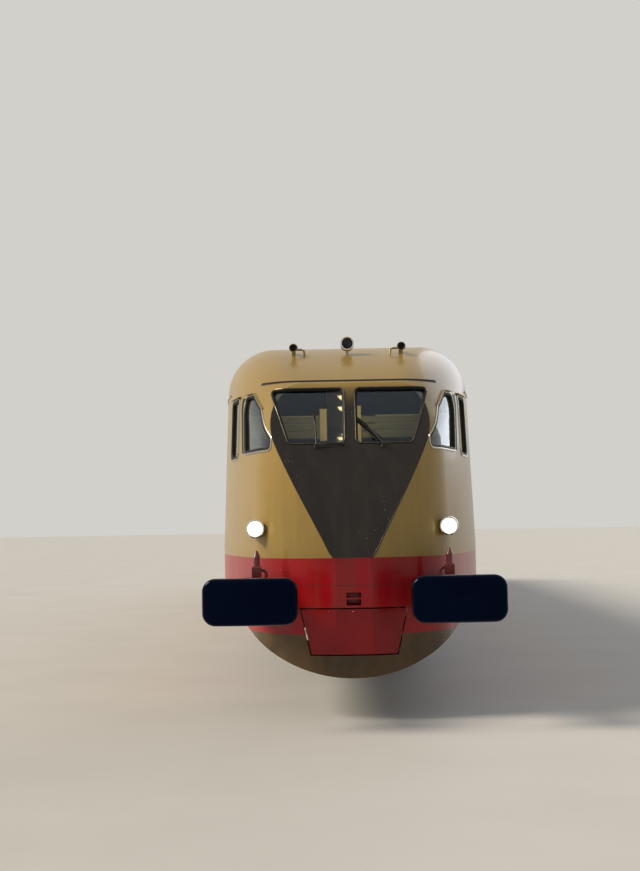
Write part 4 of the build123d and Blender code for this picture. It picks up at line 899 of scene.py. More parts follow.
def cast(start_point, direction):
    """The first place on the skin along a ray, and the skin's outward direction there."""
    direction = Vector(direction)
    place, out = SKIN.ray_cast(Vector(start_point), direction)[:2]
    if place is None:
        raise ValueError(f"no skin from {start_point}")
    return place, -out if out.dot(direction) > 0 else out


def on_front(x, height):
    """The skin behind a point of the front view."""
    return cast((x, AHEAD, up(height)), (0, 1, 0))


def on_side(y, height):
    """The skin behind a point of the right side view."""
    return cast((ASIDE, y, up(height)), (-1, 0, 0))


def on_cab_side(distance, height):
    """The same, with the distance behind the nose's tip."""
    return on_side(behind(distance), height)


def on_roof(x, y):
    """The skin under a point of the plan."""
    return cast((x, y, ABOVE), (0, 0, -1))


print("skin at the waist", on_front(0, 1.45)[0], on_side(0, 1.45)[0])

# %% [markdown]
# ## Laying a profile on the skin
# The skin's slope is smoothed a little along the path, because a rubber bends evenly even where two plates
# meet at an angle. A border runs round an opening, and a run follows an open line.

# %% Borders and runs
SMOOTHINGS = 3


def laid(project, flat, closed=True):
    """Path and smoothed outward directions under a flat drawing."""
    path, outs = (list(column) for column in zip(*[project(p[0], p[1]) for p in flat]))
    n = len(path)
    for _ in range(SMOOTHINGS):
        if closed:
            outs = [(outs[i - 1] + outs[i] * 2 + outs[(i + 1) % n]).normalized() for i in range(n)]
        else:
            outs = [(outs[max(i - 1, 0)] + outs[i] * 2 + outs[min(i + 1, n - 1)]).normalized()
                    for i in range(n)]
    return path, outs


def bordered(outline, project, profile, grow=0.010):
    """A profile laid round an opening. Its first column is away from the opening's middle."""
    path, outs = laid(project, grown(outline, grow))
    middle = sum(path, Vector()) / len(path)
    side = (path[1] - path[0]).cross(outs[0])
    if side.dot(path[0] - middle) < 0:
        path.reverse()
        outs.reverse()
    return swept(path, outs, profile)


def run(project, corners, profile, step=0.05):
    """A profile along an open line of a drawing."""
    corners = [Vector(c) for c in corners]
    path, outs = laid(project, dense_line(corners, step) + corners[-1:], False)
    return swept(path, outs, profile, False)


print("smoothed", SMOOTHINGS, "times")

# %% [markdown]
# ## Sheets and grids
# A post or a kick plate is a thin sheet bent to the skin: two grids of points, one a little higher than the
# other, joined round their rim. The stuffed seats further down are two grids as well, so the numbering of
# a grid's faces and of its rim is written once.

# %% Sheets and grids


def rim_of(rows, columns):
    """Numbers of the points round the edge of a grid, in order."""
    row = columns + 1
    rim = list(range(row)) + [i * row + columns for i in range(1, rows + 1)]
    rim += [rows * row + k for k in range(columns - 1, -1, -1)]
    return rim + [i * row for i in range(rows - 1, 0, -1)]


def two_grids(rows, columns):
    """Faces of a grid and of its copy underneath, which looks the other way."""
    row, count = columns + 1, (rows + 1) * (columns + 1)
    faces = []
    for i in range(rows):
        for k in range(columns):
            quad = (i * row + k, i * row + k + 1, (i + 1) * row + k + 1, (i + 1) * row + k)
            faces += [quad, tuple(reversed([v + count for v in quad]))]
    return faces


def sheet_on(project, corners, low, high, across=6, along=14):
    """A thin sheet on the skin between four corners of a drawing, from one height off it to another."""
    a, b, c, d = (Vector(p) for p in corners)
    top, bottom = [], []
    for i in range(along + 1):
        left, right = a.lerp(d, i / along), b.lerp(c, i / along)
        for k in range(across + 1):
            spot = left.lerp(right, k / across)
            place, out = project(spot.x, spot.y)
            top.append(place + out * high)
            bottom.append(place + out * low)
    rim = rim_of(along, across)
    edge = [(here, here + len(top), there + len(top), there) for here, there in zip(rim, rim[1:] + rim[:1])]
    return top + bottom, two_grids(along, across) + edge


print("rim of a 2 by 2 grid", rim_of(2, 2))

# %% [markdown]
# ## Windscreens, quarter lights and droplights
# A black rubber section holds each pane: a lip over the paint, a groove, and a thin lip over the glass,
# which lies about 22 mm deeper. Real rubbers are pushed on round the opening, so the section is laid round
# it in one closed loop. The windscreens' lip over the paint is narrow, and a dull strip is pressed into
# their rubber to lock it.

# %% Cab window rubbers
SCREEN = ((0.052, 2.425), (0.568, 2.425), (0.748, 2.965), (0.052, 2.965))
QUARTER = ((0.350, 2.395), (0.350, 2.475), (0.680, 2.770), (0.960, 2.925), (1.100, 2.925), (1.000, 2.395))
DROPLIGHT = ((1.340, 2.370), (1.340, 2.930), (1.760, 2.930), (1.760, 2.370))
SCREEN_ROUND, QUARTER_ROUND, DROPLIGHT_ROUND = 0.045, 0.025, 0.060
SCREEN_GROW = 0.006
RUBBER = ((-0.024, -0.0215), (-0.025, -0.014), (-0.017, 0.001), (-0.009, 0.0055), (0.001, 0.0060),
          (0.007, 0.0035), (0.009, -0.001), (-0.008, -0.003), (-0.010, -0.0215))
NARROW_LIP = 0.25
LOCK_STRIP = ((-0.008, 0.0045), (-0.007, 0.0080), (-0.004, 0.0094), (-0.001, 0.0080), (0.000, 0.0045))

screen_line = rounded(SCREEN, SCREEN_ROUND)
quarter_line = rounded(QUARTER, QUARTER_ROUND)
droplight_line = rounded(DROPLIGHT, DROPLIGHT_ROUND)
screen_rubber = [(across * (1.0 if across < 0 else NARROW_LIP), rise) for across, rise in RUBBER]
cab_rubbers = joined(bordered(screen_line, on_front, screen_rubber, SCREEN_GROW),
                     bordered(quarter_line, on_cab_side, RUBBER),
                     bordered(droplight_line, on_cab_side, RUBBER))
screen_strips = bordered(screen_line, on_front, LOCK_STRIP, SCREEN_GROW)
piece("cab_window_rubbers", both(cab_rubbers, 0, 1), rubber)
piece("screen_lock_strips", both(screen_strips, 0, 1), lock_strip)

# %% [markdown]
# ## Frames, visors and posts of the cab's side
# Each quarter light and droplight has a wide polished frame, screwed on over the rubber, and a small rain
# visor above it in body colour. A black post fills the gap behind the quarter light. The frame and the
# visor are sections pushed along a line, and the post is a thin sheet on the skin.

# %% Cab side trims
WIDE_FRAME = ((0.004, -0.002), (0.005, 0.0060), (0.009, 0.0085), (0.017, 0.0085), (0.022, 0.0055),
              (0.023, -0.002))
VISOR = ((-0.003, -0.002), (0.002, -0.002), (0.015, 0.028), (0.012, 0.030))
QUARTER_VISOR = ((0.640, 2.788), (0.945, 2.958), (1.130, 2.962))
DROPLIGHT_VISOR = ((1.320, 2.966), (1.780, 2.966))
POST = ((1.018, 2.388), (1.118, 2.388), (1.222, 2.932), (1.120, 2.932))
POST_LOW, POST_HIGH = -0.002, 0.004

cab_frames = joined(bordered(quarter_line, on_cab_side, WIDE_FRAME),
                    bordered(droplight_line, on_cab_side, WIDE_FRAME))
piece("cab_window_trims", both(cab_frames, 0, 1), aluminium)
visors = joined(run(on_cab_side, QUARTER_VISOR, VISOR), run(on_cab_side, DROPLIGHT_VISOR, VISOR))
piece("rain_visors", both(visors, 0, 1), livery)
post = sheet_on(on_cab_side, POST, POST_LOW, POST_HIGH)
piece("quarter_light_posts", both(post, 0, 1), rubber)

# %% [markdown]
# ## Saloon windows
# Thirteen windows stand on each side, five between the doors and four at each end. Each has a rubber, a
# lock strip and a bar that divides the sliding vent above from the fixed pane below. The bar spans the
# opening 22 mm under the skin, where the glass is.

# %% Saloon windows
WINDOW_LOW, WINDOW_HIGH, WINDOW_WIDTH, WINDOW_ROUND = 2.030, 2.820, 1.100, 0.090
WINDOW_SPACING = 1.320
DOOR_CENTRE = 4.100
DOOR_TO_WINDOW = 1.400
VENT_BAR = 2.560
PANE_DEPTH = 0.022
BAR = ((-0.014, 0.0), (-0.014, 0.008), (-0.008, 0.014), (0.008, 0.014), (0.014, 0.008), (0.014, 0.0))

window_centres = [i * WINDOW_SPACING for i in range(-2, 3)]
window_centres += [sign * (DOOR_CENTRE + DOOR_TO_WINDOW + i * WINDOW_SPACING)
                   for i in range(4) for sign in (-1, 1)]


def upright(y, half, step=0.25):
    """The outline of a window of the row, this wide either way."""
    corners = ((y - half, WINDOW_LOW), (y + half, WINDOW_LOW),
               (y + half, WINDOW_HIGH), (y - half, WINDOW_HIGH))
    return rounded(corners, WINDOW_ROUND, step)


def vent_bar(y):
    """The bar across one window."""
    low_end, out = on_side(y - WINDOW_WIDTH / 2 - 0.02, VENT_BAR)
    high_end = on_side(y + WINDOW_WIDTH / 2 + 0.02, VENT_BAR)[0]
    path = [low_end.lerp(high_end, k / 4) - out * PANE_DEPTH for k in range(5)]
    return swept(path, [out] * 5, BAR, False)


saloon_lines = [upright(y, WINDOW_WIDTH / 2) for y in window_centres]
for kind, profile, finish, slot in (("rubbers", RUBBER, rubber, "buffer_black"),
                                    ("strips", LOCK_STRIP, lock_strip, "lamp_rim")):
    borders = joined(*[bordered(line, on_side, profile) for line in saloon_lines])
    piece(f"saloon_window_{kind}", both(borders, 0), finish)
vent_bars = joined(*[vent_bar(y) for y in window_centres])
piece("saloon_vent_bars", both(vent_bars, 0), aluminium)

# %% [markdown]
# ## Handles and grab bars
# Both are chromed round bars that stand off the side on two bent ends, each end on a small round plate. One
# drawing of the bend serves for every length: how far off the side it is, at which share of its height.

# %% Standing bars
HANDLE_PATH = ((0.000, 0.0), (0.042, 0.012), (0.052, 0.040), (0.052, 0.260), (0.042, 0.288), (0.000, 0.300))
HANDLE_DRAWN = 0.300
FOOT_PLATE = ((-0.002, 0.024), (0.004, 0.024), (0.007, 0.018), (0.007, 0.0))


def standing_bar(y, low, reach, radius):
    """A round bar that stands off the side on two bent ends."""
    foot, out = on_side(y, low)
    head = on_side(y, low + reach)[0]
    route = [foot.lerp(head, rise / HANDLE_DRAWN) + out * off for off, rise in HANDLE_PATH]
    plates = [turned(FOOT_PLATE, spot, out, 20) for spot in (foot, head)]
    return joined(tube(route, radius, 12), *plates)


print("bars stand off by", max(off for off, rise in HANDLE_PATH))

# %% [markdown]
# ## The four doors
# A door carries its own rubber, strip, pane, handle and kick plate, so all five ride on its body and swing
# with it. The shapes are drawn on the right side and mirrored for the left.

# %% Doors
DOOR_WINDOW_HALF = 0.240
PANE_OUT, PANE_IN = 0.027, 0.033
HANDLE_OFF, HANDLE_LOW, HANDLE_REACH, HANDLE_RADIUS = 0.315, 2.06, 0.30, 0.010
KICK_HALF, KICK_LOW, KICK_HIGH = 0.33, 1.29, 1.375


def door_pane(line):
    """A flat-sided pane inside the window's outline."""
    path, outs = laid(on_side, grown(line, 0.004))
    outer = [spot - out * PANE_OUT for spot, out in zip(path, outs)]
    inner = [spot - out * PANE_IN for spot, out in zip(path, outs)]
    count = len(outer)
    sides = [(i, (i + 1) % count, (i + 1) % count + count, i + count) for i in range(count)]
    return outer + inner, [tuple(range(count)), tuple(reversed(range(count, 2 * count)))] + sides


def kick_plate(middle):
    """A thin plate along the foot of a door."""
    corners = ((middle - KICK_HALF, KICK_LOW), (middle + KICK_HALF, KICK_LOW),
               (middle + KICK_HALF, KICK_HIGH), (middle - KICK_HALF, KICK_HIGH))
    return sheet_on(on_side, corners, -0.001, 0.002, 4, 2)


for end, way in (("front", -1), ("rear", 1)):
    middle = way * DOOR_CENTRE
    line = upright(middle, DOOR_WINDOW_HALF)
    handle = standing_bar(middle - way * HANDLE_OFF, HANDLE_LOW, HANDLE_REACH, HANDLE_RADIUS)
    door_pieces = (("rubber", bordered(line, on_side, RUBBER), rubber, "buffer_black"),
                   ("strip", bordered(line, on_side, LOCK_STRIP), aluminium, "lamp_rim"),
                   ("handle", handle, chrome, "lamp_rim"),
                   ("pane", door_pane(line), window_glass, "clear_glass"),
                   ("kick_plate", kick_plate(middle), aluminium, "lamp_rim"))
    for side in ("right", "left"):
        body = f"door_{end}_{side}"
        for kind, shape, finish, slot in door_pieces:
            piece(f"{body}_{kind}", mirrored(shape, 0) if side == "left" else shape, finish, body)

# %% [markdown]
# ## Grab bars beside the doors
# A long chromed bar stands on the wall at each side of a doorway, from hip height to over the head. They are
# the handles' drawing again, longer and thicker, and they stay with the car when a door swings.

# %% Grab bars
GRAB_OFF, GRAB_LOW, GRAB_REACH, GRAB_RADIUS = 0.50, 1.50, 1.10, 0.014

grab_bars = [standing_bar(way * DOOR_CENTRE + off, GRAB_LOW, GRAB_REACH, GRAB_RADIUS)
             for way in (-1, 1) for off in (-GRAB_OFF, GRAB_OFF)]
piece("door_grab_rails", both(joined(*grab_bars), 0), chrome)

# %% [markdown]
# ## The air slot in the brow
# A thin black slot crosses the brow above the windscreens and lets air into the roof. The CAD roof has the
# slot itself; what it lacks is the lining, a folded black strip whose two lips lie on the paint. Its black is
# painted shade, standing in for the dark inside the opening. Rays above and below the slot find the skin,
# since a ray into it would miss.

# %% Air slot
SLOT_HEIGHT = 3.047
SLOT_HALF = 0.838
SLOT_EDGE = 0.013
SLOT_STEPS = 16
LINING = ((-0.0180, -0.002), (-0.0180, 0.0025), (-0.0070, 0.0035), (-0.0070, -0.020), (0.0070, -0.020),
          (0.0070, 0.0035), (0.0180, 0.0025), (0.0180, -0.002))

slot_path, slot_outs = [], []
for k in range(2 * SLOT_STEPS + 1):
    x = SLOT_HALF * (k / SLOT_STEPS - 1)
    upper, out = on_front(x, SLOT_HEIGHT + SLOT_EDGE)
    lower = on_front(x, SLOT_HEIGHT - SLOT_EDGE)[0]
    slot_path.append(upper.lerp(lower, 0.5))
    slot_outs.append(out)
lining = swept(slot_path, slot_outs, LINING, False)
# The black lining is painted shade in the slot.
piece("brow_slot_painted_shade_lining", both(lining, 1), black_and_painted_shade)

# %% [markdown]
# ## Seams
# Plates meet in fine dark lines: round the cover over the coupling, up the sides between the windows and
# over the roof. A seam is really a gap filled with paint and dirt. It is drawn as a flat dark bead 3 mm
# wide, because a cut in the CAD plates would cost far more and look the same.

# %% Seams
SEAM = ((-0.0016, -0.001), (-0.0016, 0.0007), (0.0016, 0.0007), (0.0016, -0.001))
COVER_HALF, COVER_LOW, COVER_HIGH = 0.51, 0.955, 1.15
SIDE_SEAMS = (-10.88, -10.12, -8.80, -7.48, -6.16, -3.30, -1.98, -0.66)
ROOF_SEAMS = (-10.88, -8.80, -6.16, -3.30, -0.66)

cover_seams = [run(on_front, ((-COVER_HALF, COVER_HIGH), (COVER_HALF, COVER_HIGH)), SEAM, 0.03)]
cover_seams += [run(on_front, ((x, COVER_HIGH), (x, COVER_LOW)), SEAM, 0.03)
                for x in (-COVER_HALF, COVER_HALF)]
side_seams = [run(on_side, ((y, 1.065), (y, 1.45), (y, 3.015)), SEAM, 0.3) for y in SIDE_SEAMS]
roof_seams = [run(on_roof, ((0, y), (0.9, y), (1.27, y)), SEAM, 0.04) for y in ROOF_SEAMS]
piece("plate_seams", both(joined(*cover_seams, *side_seams), 1), black_and_painted_shade)
piece("plate_seams_left", both(mirrored(joined(*side_seams), 0), 1), black_and_painted_shade)
piece("roof_seams", both(joined(*roof_seams), 0, 1), black_and_painted_shade)

# %% [markdown]
# ## Creases and gutters
# The facet meets the round nose in a rolled crease, which catches the light in a thin line. Its place isn't
# drawn but found: at each height the search halves the distance between a point on the facet's arc and one
# beyond it, until it stands on the crease. A plain gutter runs along each side under the roof.

# %% Creases and gutters
CREASE = ((-0.0055, -0.002), (-0.0040, 0.0010), (-0.0014, 0.0028), (0.0014, 0.0028), (0.0040, 0.0010),
          (0.0055, -0.002))
CREASE_LOW, CREASE_HIGH, CREASE_POINTS = 1.405, 2.365, 28
SEARCH_FROM, SEARCH_TO = 0.02, 1.10
STILL_ON_FACET = 0.0012
HALVINGS = 16
GUTTER = ((-0.010, -0.002), (-0.008, 0.008), (-0.002, 0.012), (0.005, 0.009), (0.008, -0.002))
GUTTER_HEIGHT, GUTTER_END = 3.036, -11.40
arc_distance, arc_height, arc_radius = facet_arc()


def off_facet(x, height):
    """How far the skin lies from the facet's arc."""
    place = on_front(x, height)[0]
    reach = math.hypot(place.y - NOSE_TIP - arc_distance, place.z - ROLLING_LEVEL - arc_height)
    return abs(reach - arc_radius)


crease_line = []
for k in range(CREASE_POINTS + 1):
    height = CREASE_LOW + (CREASE_HIGH - CREASE_LOW) * k / CREASE_POINTS
    inner, outer = SEARCH_FROM, SEARCH_TO
    for _ in range(HALVINGS):
        middle = (inner + outer) / 2
        if off_facet(middle, height) < STILL_ON_FACET:
            inner = middle
        else:
            outer = middle
    crease_line.append((outer, height))
print("crease from", crease_line[0], "to", crease_line[-1])
piece("facet_creases", both(run(on_front, crease_line, CREASE, 0.08), 0, 1), livery)
gutter = run(on_side, ((GUTTER_END, GUTTER_HEIGHT), (0, GUTTER_HEIGHT)), GUTTER, 0.3)
piece("cantrail_gutters", both(gutter, 0, 1), livery)

# %% [markdown]
# ## Wipers
# Two wipers turn on spindles just under the panes. The left one stands upright with a link rod beside it,
# and the right one lies up towards the pillar with a broad blade. A blade lies on the glass, not on the
# nose's outer form, so rays at the panes give its place, and the blade's lip reaches down to it.

# %% One wiper
BLADE = ((-0.007, 0.004), (-0.005, 0.020), (-0.002, 0.030), (0.002, 0.030), (0.005, 0.020), (0.007, 0.004))
LIP_SCALE, LIP_DROP, BLADE_STEPS = 1.2, 0.026, 8
ELBOW_SHARE, ARM_OFFS, ARM_RADII = 0.2, (0.040, 0.046, 0.036, 0.026), [0.011, 0.009, 0.008, 0.005]
SPINDLE = ((-0.010, 0.024), (0.006, 0.024), (0.012, 0.018), (0.012, 0.011), (0.044, 0.011), (0.048, 0.0))
PANES = skin_of(("cab_glass",))
FRONT_PANES_END = -11


def on_screen(x, height):
    """The nose's outer form over a pane as well: the pane lies a little way under it."""
    place, out = PANES.ray_cast(Vector((x, AHEAD, up(height))), Vector((0, 1, 0)))[:2]
    if place is None or place.y > FRONT_PANES_END:
        return on_front(x, height)
    out = -out if out.y > 0 else out
    return place + out * PANE_DEPTH, out


def over(x, height, off):
    """A point this far off the screen."""
    place, out = on_screen(x, height)
    return place + out * off


def wiper(pivot, tip, blade_low, blade_high, width):
    """Spindle and arm, and the blade, this many times as wide as it is drawn."""
    place, out = on_screen(*pivot)
    elbow = Vector(pivot).lerp(Vector(tip), ELBOW_SHARE)
    arm = tube([over(*spot, off) for spot, off in zip((pivot, elbow, tip, tip), ARM_OFFS)], ARM_RADII, 10)
    blade = [Vector(blade_low).lerp(Vector(blade_high), k / BLADE_STEPS) for k in range(BLADE_STEPS + 1)]
    path, outs = laid(on_screen, blade, False)
    lip = swept(path, outs, [(a * width, b * LIP_SCALE - LIP_DROP) for a, b in BLADE], False)
    return joined(turned(SPINDLE, place, out, 24), arm), lip


print("panes end at", FRONT_PANES_END)

# %% [markdown]
# ## The pair of wipers
# The link rod joins the left spindle to a boss beside the pillar. The rear cab's pair is the front one
# mirrored twice, end for end and side for side: that turns it half round, so each cab looks the same from
# its own end.

# %% The pair of wipers
LEFT_PIVOT = (-0.310, 2.399)
LINK_END = (-0.067, 2.416)
BOSS = ((-0.004, 0.014), (0.020, 0.014), (0.024, 0.008), (0.024, 0.0))

left_arm, left_blade = wiper(LEFT_PIVOT, (-0.322, 2.610), (-0.316, 2.455), (-0.329, 2.715), 1.5)
right_arm, right_blade = wiper((0.302, 2.394), (0.175, 2.540), (0.272, 2.455), (0.066, 2.652), 3.2)
link_rod = tube([over(*LEFT_PIVOT, 0.030), over(-0.190, 2.408, 0.034), over(*LINK_END, 0.020)], 0.006, 8)
boss = turned(BOSS, over(*LINK_END, 0.0), on_screen(*LINK_END)[1], 16)
wiper_shapes = (("arms", joined(left_arm, right_arm, link_rod, boss), black_iron, "frame_black"),
                ("blades", joined(left_blade, right_blade), rubber, "buffer_black"))
for suffix in ("front", "rear"):
    for kind, shape, finish, slot in wiper_shapes:
        shape = mirrored(mirrored(shape, 1), 0) if suffix == "rear" else shape
        piece(f"wiper_{kind}_{suffix}", shape, finish)

# %% [markdown]
# ## Headlamp rims
# Each headlamp is closed by a chromed ring that was spun from sheet: it turns in over the glass in a soft
# bead. Two small clips hold it. A turned profile gives the bead its highlight.

# %% Headlamp rims
LAMP_X, LAMP_HEIGHT, LAMP_DISTANCE = 0.885, 1.657, 0.340
BEZEL = ((-0.030, 0.0875), (0.004, 0.0875), (0.012, 0.0830), (0.014, 0.0760), (0.010, 0.0690),
         (0.000, 0.0660), (-0.010, 0.0660))
CLIP_REACH = 0.077
FORWARD = (0, -1, 0)

lamp_y, lamp_z = behind(LAMP_DISTANCE), up(LAMP_HEIGHT)
bezel = turned(BEZEL, (LAMP_X, lamp_y, lamp_z), FORWARD, 48)
clips = [slab((LAMP_X - 0.008, lamp_y - 0.017, lamp_z + sign * CLIP_REACH - 0.009),
              (LAMP_X + 0.008, lamp_y - 0.004, lamp_z + sign * CLIP_REACH + 0.009), 0.002)
         for sign in (-1, 1)]
piece("headlamp_rims", both(joined(bezel, *clips), 0, 1), chrome)

# %% [markdown]
# ## Horns and roof lamp
# Two brass horns and a drum lamp stand on the brow. Each horn gets its bent air pipe and a dark mouth, and
# the lamp its chromed ring, its dark dish and a lens. The dark parts are painted shade: thin black dishes
# inside the CAD bells, which stand in for the shade deep in a hollow bell, because a bell that is bright
# down to its throat wouldn't look hollow.

# %% Horns and roof lamp
HORN_X, HORN_DISTANCE, HORN_LIFT = 0.543, 1.570, 0.066
HORN_PIPE = ((-0.012, 0.0), (-0.070, 0.0), (-0.105, -0.012), (-0.115, -0.10))
MOUTH_SHADE = ((-0.0285, 0.0), (-0.001, 0.0345), (0.0015, 0.0355), (0.0015, 0.0375), (-0.002, 0.0375))
LAMP_RING = ((-0.004, 0.070), (0.006, 0.070), (0.010, 0.064), (0.006, 0.056), (-0.002, 0.056))
LAMP_DISH_SHADE = ((-0.036, 0.0), (-0.024, 0.034), (-0.006, 0.0545), (-0.004, 0.0555))
LAMP_LENS = ((0.000, 0.056), (0.006, 0.045), (0.010, 0.025), (0.011, 0.001))

horn_y = behind(HORN_DISTANCE)
roof_top = on_roof(0, horn_y)[0].z
horn_z = roof_top + HORN_LIFT
pipe = tube([(HORN_X + inward, horn_y + 0.02, horn_z + rise) for inward, rise in HORN_PIPE], 0.011, 12)
piece("horn_air_pipes", both(pipe, 0, 1), brass)
drum_front = (0, horn_y - 0.060, roof_top + 0.110)
piece("roof_lamp_rings", both(turned(LAMP_RING, drum_front, FORWARD, 40), 1), chrome)
# Black dish in the drum lamp: painted shade.
piece("roof_lamp_painted_shade_dishes", both(turned(LAMP_DISH_SHADE, drum_front, FORWARD), 1), black_and_painted_shade)
# Black mouths in the horns: painted shade.
mouth = turned(MOUTH_SHADE, (HORN_X, horn_y - 0.120, horn_z), FORWARD)
piece("horn_mouth_painted_shade", both(mouth, 0, 1), black_and_painted_shade)
piece("roof_lamp_lenses", both(turned(LAMP_LENS, drum_front, FORWARD), 1), window_glass)

# %% [markdown]
# ## Coupling cover and buffers
# The red cover over the coupling is held by painted screws round its edge, and the two small openings over
# it show a painted plate behind. Four rivet heads stand on the back of each buffer plate. All heads are
# turned profiles, and on the nose a ray sets each one square to the skin, so it sits flush on the curve.

# %% Screws, backing and rivets
COVER_SCREWS = ((0.435, 0.915), (0.415, 0.800), (0.390, 0.690), (0.362, 0.575), (0.215, 0.915),
                (0.0, 0.915), (0.170, 0.572))
SCREW = ((-0.002, 0.011), (0.002, 0.011), (0.005, 0.008), (0.006, 0.0))
BACKING_HALF, BACKING_LOW, BACKING_HIGH = 0.10, 0.950, 1.110
BUFFER_X, BUFFER_HEIGHT, PLATE_BACK = 0.875, 1.055, -14.0295
RIVET = ((-0.001, 0.016), (0.004, 0.014), (0.007, 0.008), (0.008, 0.0))
RIVET_X, RIVET_RISE = 0.270, 0.110

screws = [turned(SCREW, *on_front(x, height), 14) for x, height in COVER_SCREWS]
piece("hatch_screws", both(joined(*screws), 0, 1), hatch_enamel)
skin_y = on_front(0, 1.033)[0].y
backing = slab((-BACKING_HALF, skin_y + 0.085, up(BACKING_LOW)),
               (BACKING_HALF, skin_y + 0.095, up(BACKING_HIGH)), 0.002)
piece("recess_backings", both(backing, 1), hatch_enamel)
rivets = [turned(RIVET, (BUFFER_X + a * RIVET_X, PLATE_BACK, up(BUFFER_HEIGHT) + b * RIVET_RISE),
                 (0, 1, 0), 14) for a in (-1, 1) for b in (-1, 1)]
piece("buffer_plate_rivets", both(joined(*rivets), 0, 1), buffer_enamel)

# %% [markdown]
# ## The wall behind the driver
# Through the windscreens the photograph shows the wall behind the driver: grey-green boards low down, a
# dark strip, navy lining above, two cream door posts and a dark ceiling. Below its cream part each post is
# navy, which is painted shade. The doorway is half shut by a sliding leaf that carries the same boards, so
# it is only a gap a little left of the middle, and the two sides of the wall are made one by one. Each board
# is a block with soft edges, so that its grooves shade.

# %% Cab wall
WALL_DISTANCE = 2.330
FLOOR = 1.230
WALL_END, LINING_END = 1.235, 1.150
DOORWAY_HALF = 0.300
LEAF_EDGE = 0.143
LOW_BOARDS, LOW_PITCH, LOW_BOARD = 5, 0.240, 0.232
HIGH_BOARDS, HIGH_PITCH, HIGH_BOARD, HIGH_FROM = 3, 0.080, 0.071, 2.600
STRIP_LOW, STRIP_HIGH = 2.530, 2.595
LINING_LOW, LINING_TOP = 2.845, 3.170
CEILING_HALF, CEILING_FROM, CEILING_LOW, CEILING_HIGH = 0.860, 1.350, 3.135, 3.150
POSTS = ((-0.302, -0.225, 2.570, 2.915), (0.062, LEAF_EDGE, 2.530, 2.945))
wall_y = behind(WALL_DISTANCE)


def on_wall(x0, x1, low, high, thick, bevel, segments=2):
    """A block on the cab's side of the wall, between two heights."""
    return slab((x0, wall_y - thick, low), (x1, wall_y - 0.001, high), bevel, segments)


boards, dark_parts, posts = [], [], []
for x0, x1, top0, top1 in ((-WALL_END, -DOORWAY_HALF, -LINING_END, -DOORWAY_HALF),
                           (LEAF_EDGE, WALL_END, LEAF_EDGE, LINING_END)):
    for i in range(HIGH_BOARDS):
        low = up(HIGH_FROM + i * HIGH_PITCH)
        boards.append(on_wall(x0, x1, low, low + HIGH_BOARD, 0.022, 0.006, 3))
    for i in range(LOW_BOARDS):
        low = up(FLOOR + 0.10 + i * LOW_PITCH)
        boards.append(on_wall(x0, x1, low, low + LOW_BOARD, 0.016, 0.005, 3))
    dark_parts.append(on_wall(x0, x1, up(STRIP_LOW), up(STRIP_HIGH), 0.012, 0.002))
    dark_parts.append(on_wall(top0, top1, up(LINING_LOW), up(LINING_TOP), 0.012, 0.002))
dark_parts.append(slab((-CEILING_HALF, behind(CEILING_FROM), up(CEILING_LOW)),
                       (CEILING_HALF, wall_y - 0.013, up(CEILING_HIGH)), 0.003))
for x0, x1, low, high in POSTS:
    posts.append(on_wall(x0, x1, up(low), up(high), 0.034, 0.008, 3))
    # Below its cream part each post is navy, which is painted shade; above it the navy runs on as lining.
    for bottom, top in ((FLOOR, low - 0.004), (high + 0.004, LINING_TOP)):
        dark_parts.append(on_wall(x0, x1, up(bottom), up(top), 0.030, 0.006, 3))

# Painted softwood boards: half-dull, and the brush leaves its marks.
grey_board = plain("painted_tongue_and_groove_board", "#74745F", "#66664F", 0.12, 0.35, grit=(0.02, 0.0004))
# Cream enamel on the posts, yellowed by hands.
cream_post = plain("cream_enamel_on_door_post", "#CDBD90", "#BCAC80", 0.10, 0.35, grit=(0.02, 0.0003))
piece("cab_wall_boards", both(joined(*boards), 1), grey_board)
piece("cab_doorway_posts", both(joined(*posts), 1), cream_post)
piece("cab_navy_lining_and_painted_shade", both(joined(*dark_parts), 1), navy_lining_and_painted_shade)

# %% [markdown]
# ## Ceiling lamps of the saloon
# Beyond the cab's doorway the photograph shows a row of lit lamps. Each is an opal glass bowl in a chromed
# ring, and both were made on a round mould, so both are turned profiles. The row runs the whole saloon.

# %% Ceiling lamps
BOWL = ((0.000, 0.105), (-0.012, 0.105), (-0.018, 0.095), (-0.050, 0.070), (-0.064, 0.035), (-0.068, 0.0))
BOWL_SHARE = 0.94
BOWL_RING = ((0.150, 0.030), (0.000, 0.030), (0.000, 0.112), (-0.010, 0.112), (-0.012, 0.104))
LAMPS, FIRST_LAMP, LAMP_SPACING, SALOON_CEILING = 12, -9.35, 1.70, 3.395
UPRIGHT = (0, 0, 1)

lamp_places = [(0, FIRST_LAMP + i * LAMP_SPACING, up(SALOON_CEILING)) for i in range(LAMPS)]
bowl = [(distance, radius * BOWL_SHARE) for distance, radius in BOWL]
bowls = joined(*[turned(bowl, place, UPRIGHT, 28) for place in lamp_places])
bowl_rings = joined(*[turned(BOWL_RING, place, UPRIGHT, 28) for place in lamp_places])
piece("saloon_ceiling_lamps", bowls, cab_lamp)
piece("saloon_lamp_rings", bowl_rings, chrome)

# %% [markdown]
# ## Gauges on the desk
# The desk slopes towards the driver and carries a row of round gauges: a brass rim, a white enamel dial and
# a black needle, each needle at its own angle. The dials carry no lettering. Every place is a share of the
# slope, so all the fittings lie flush on it.

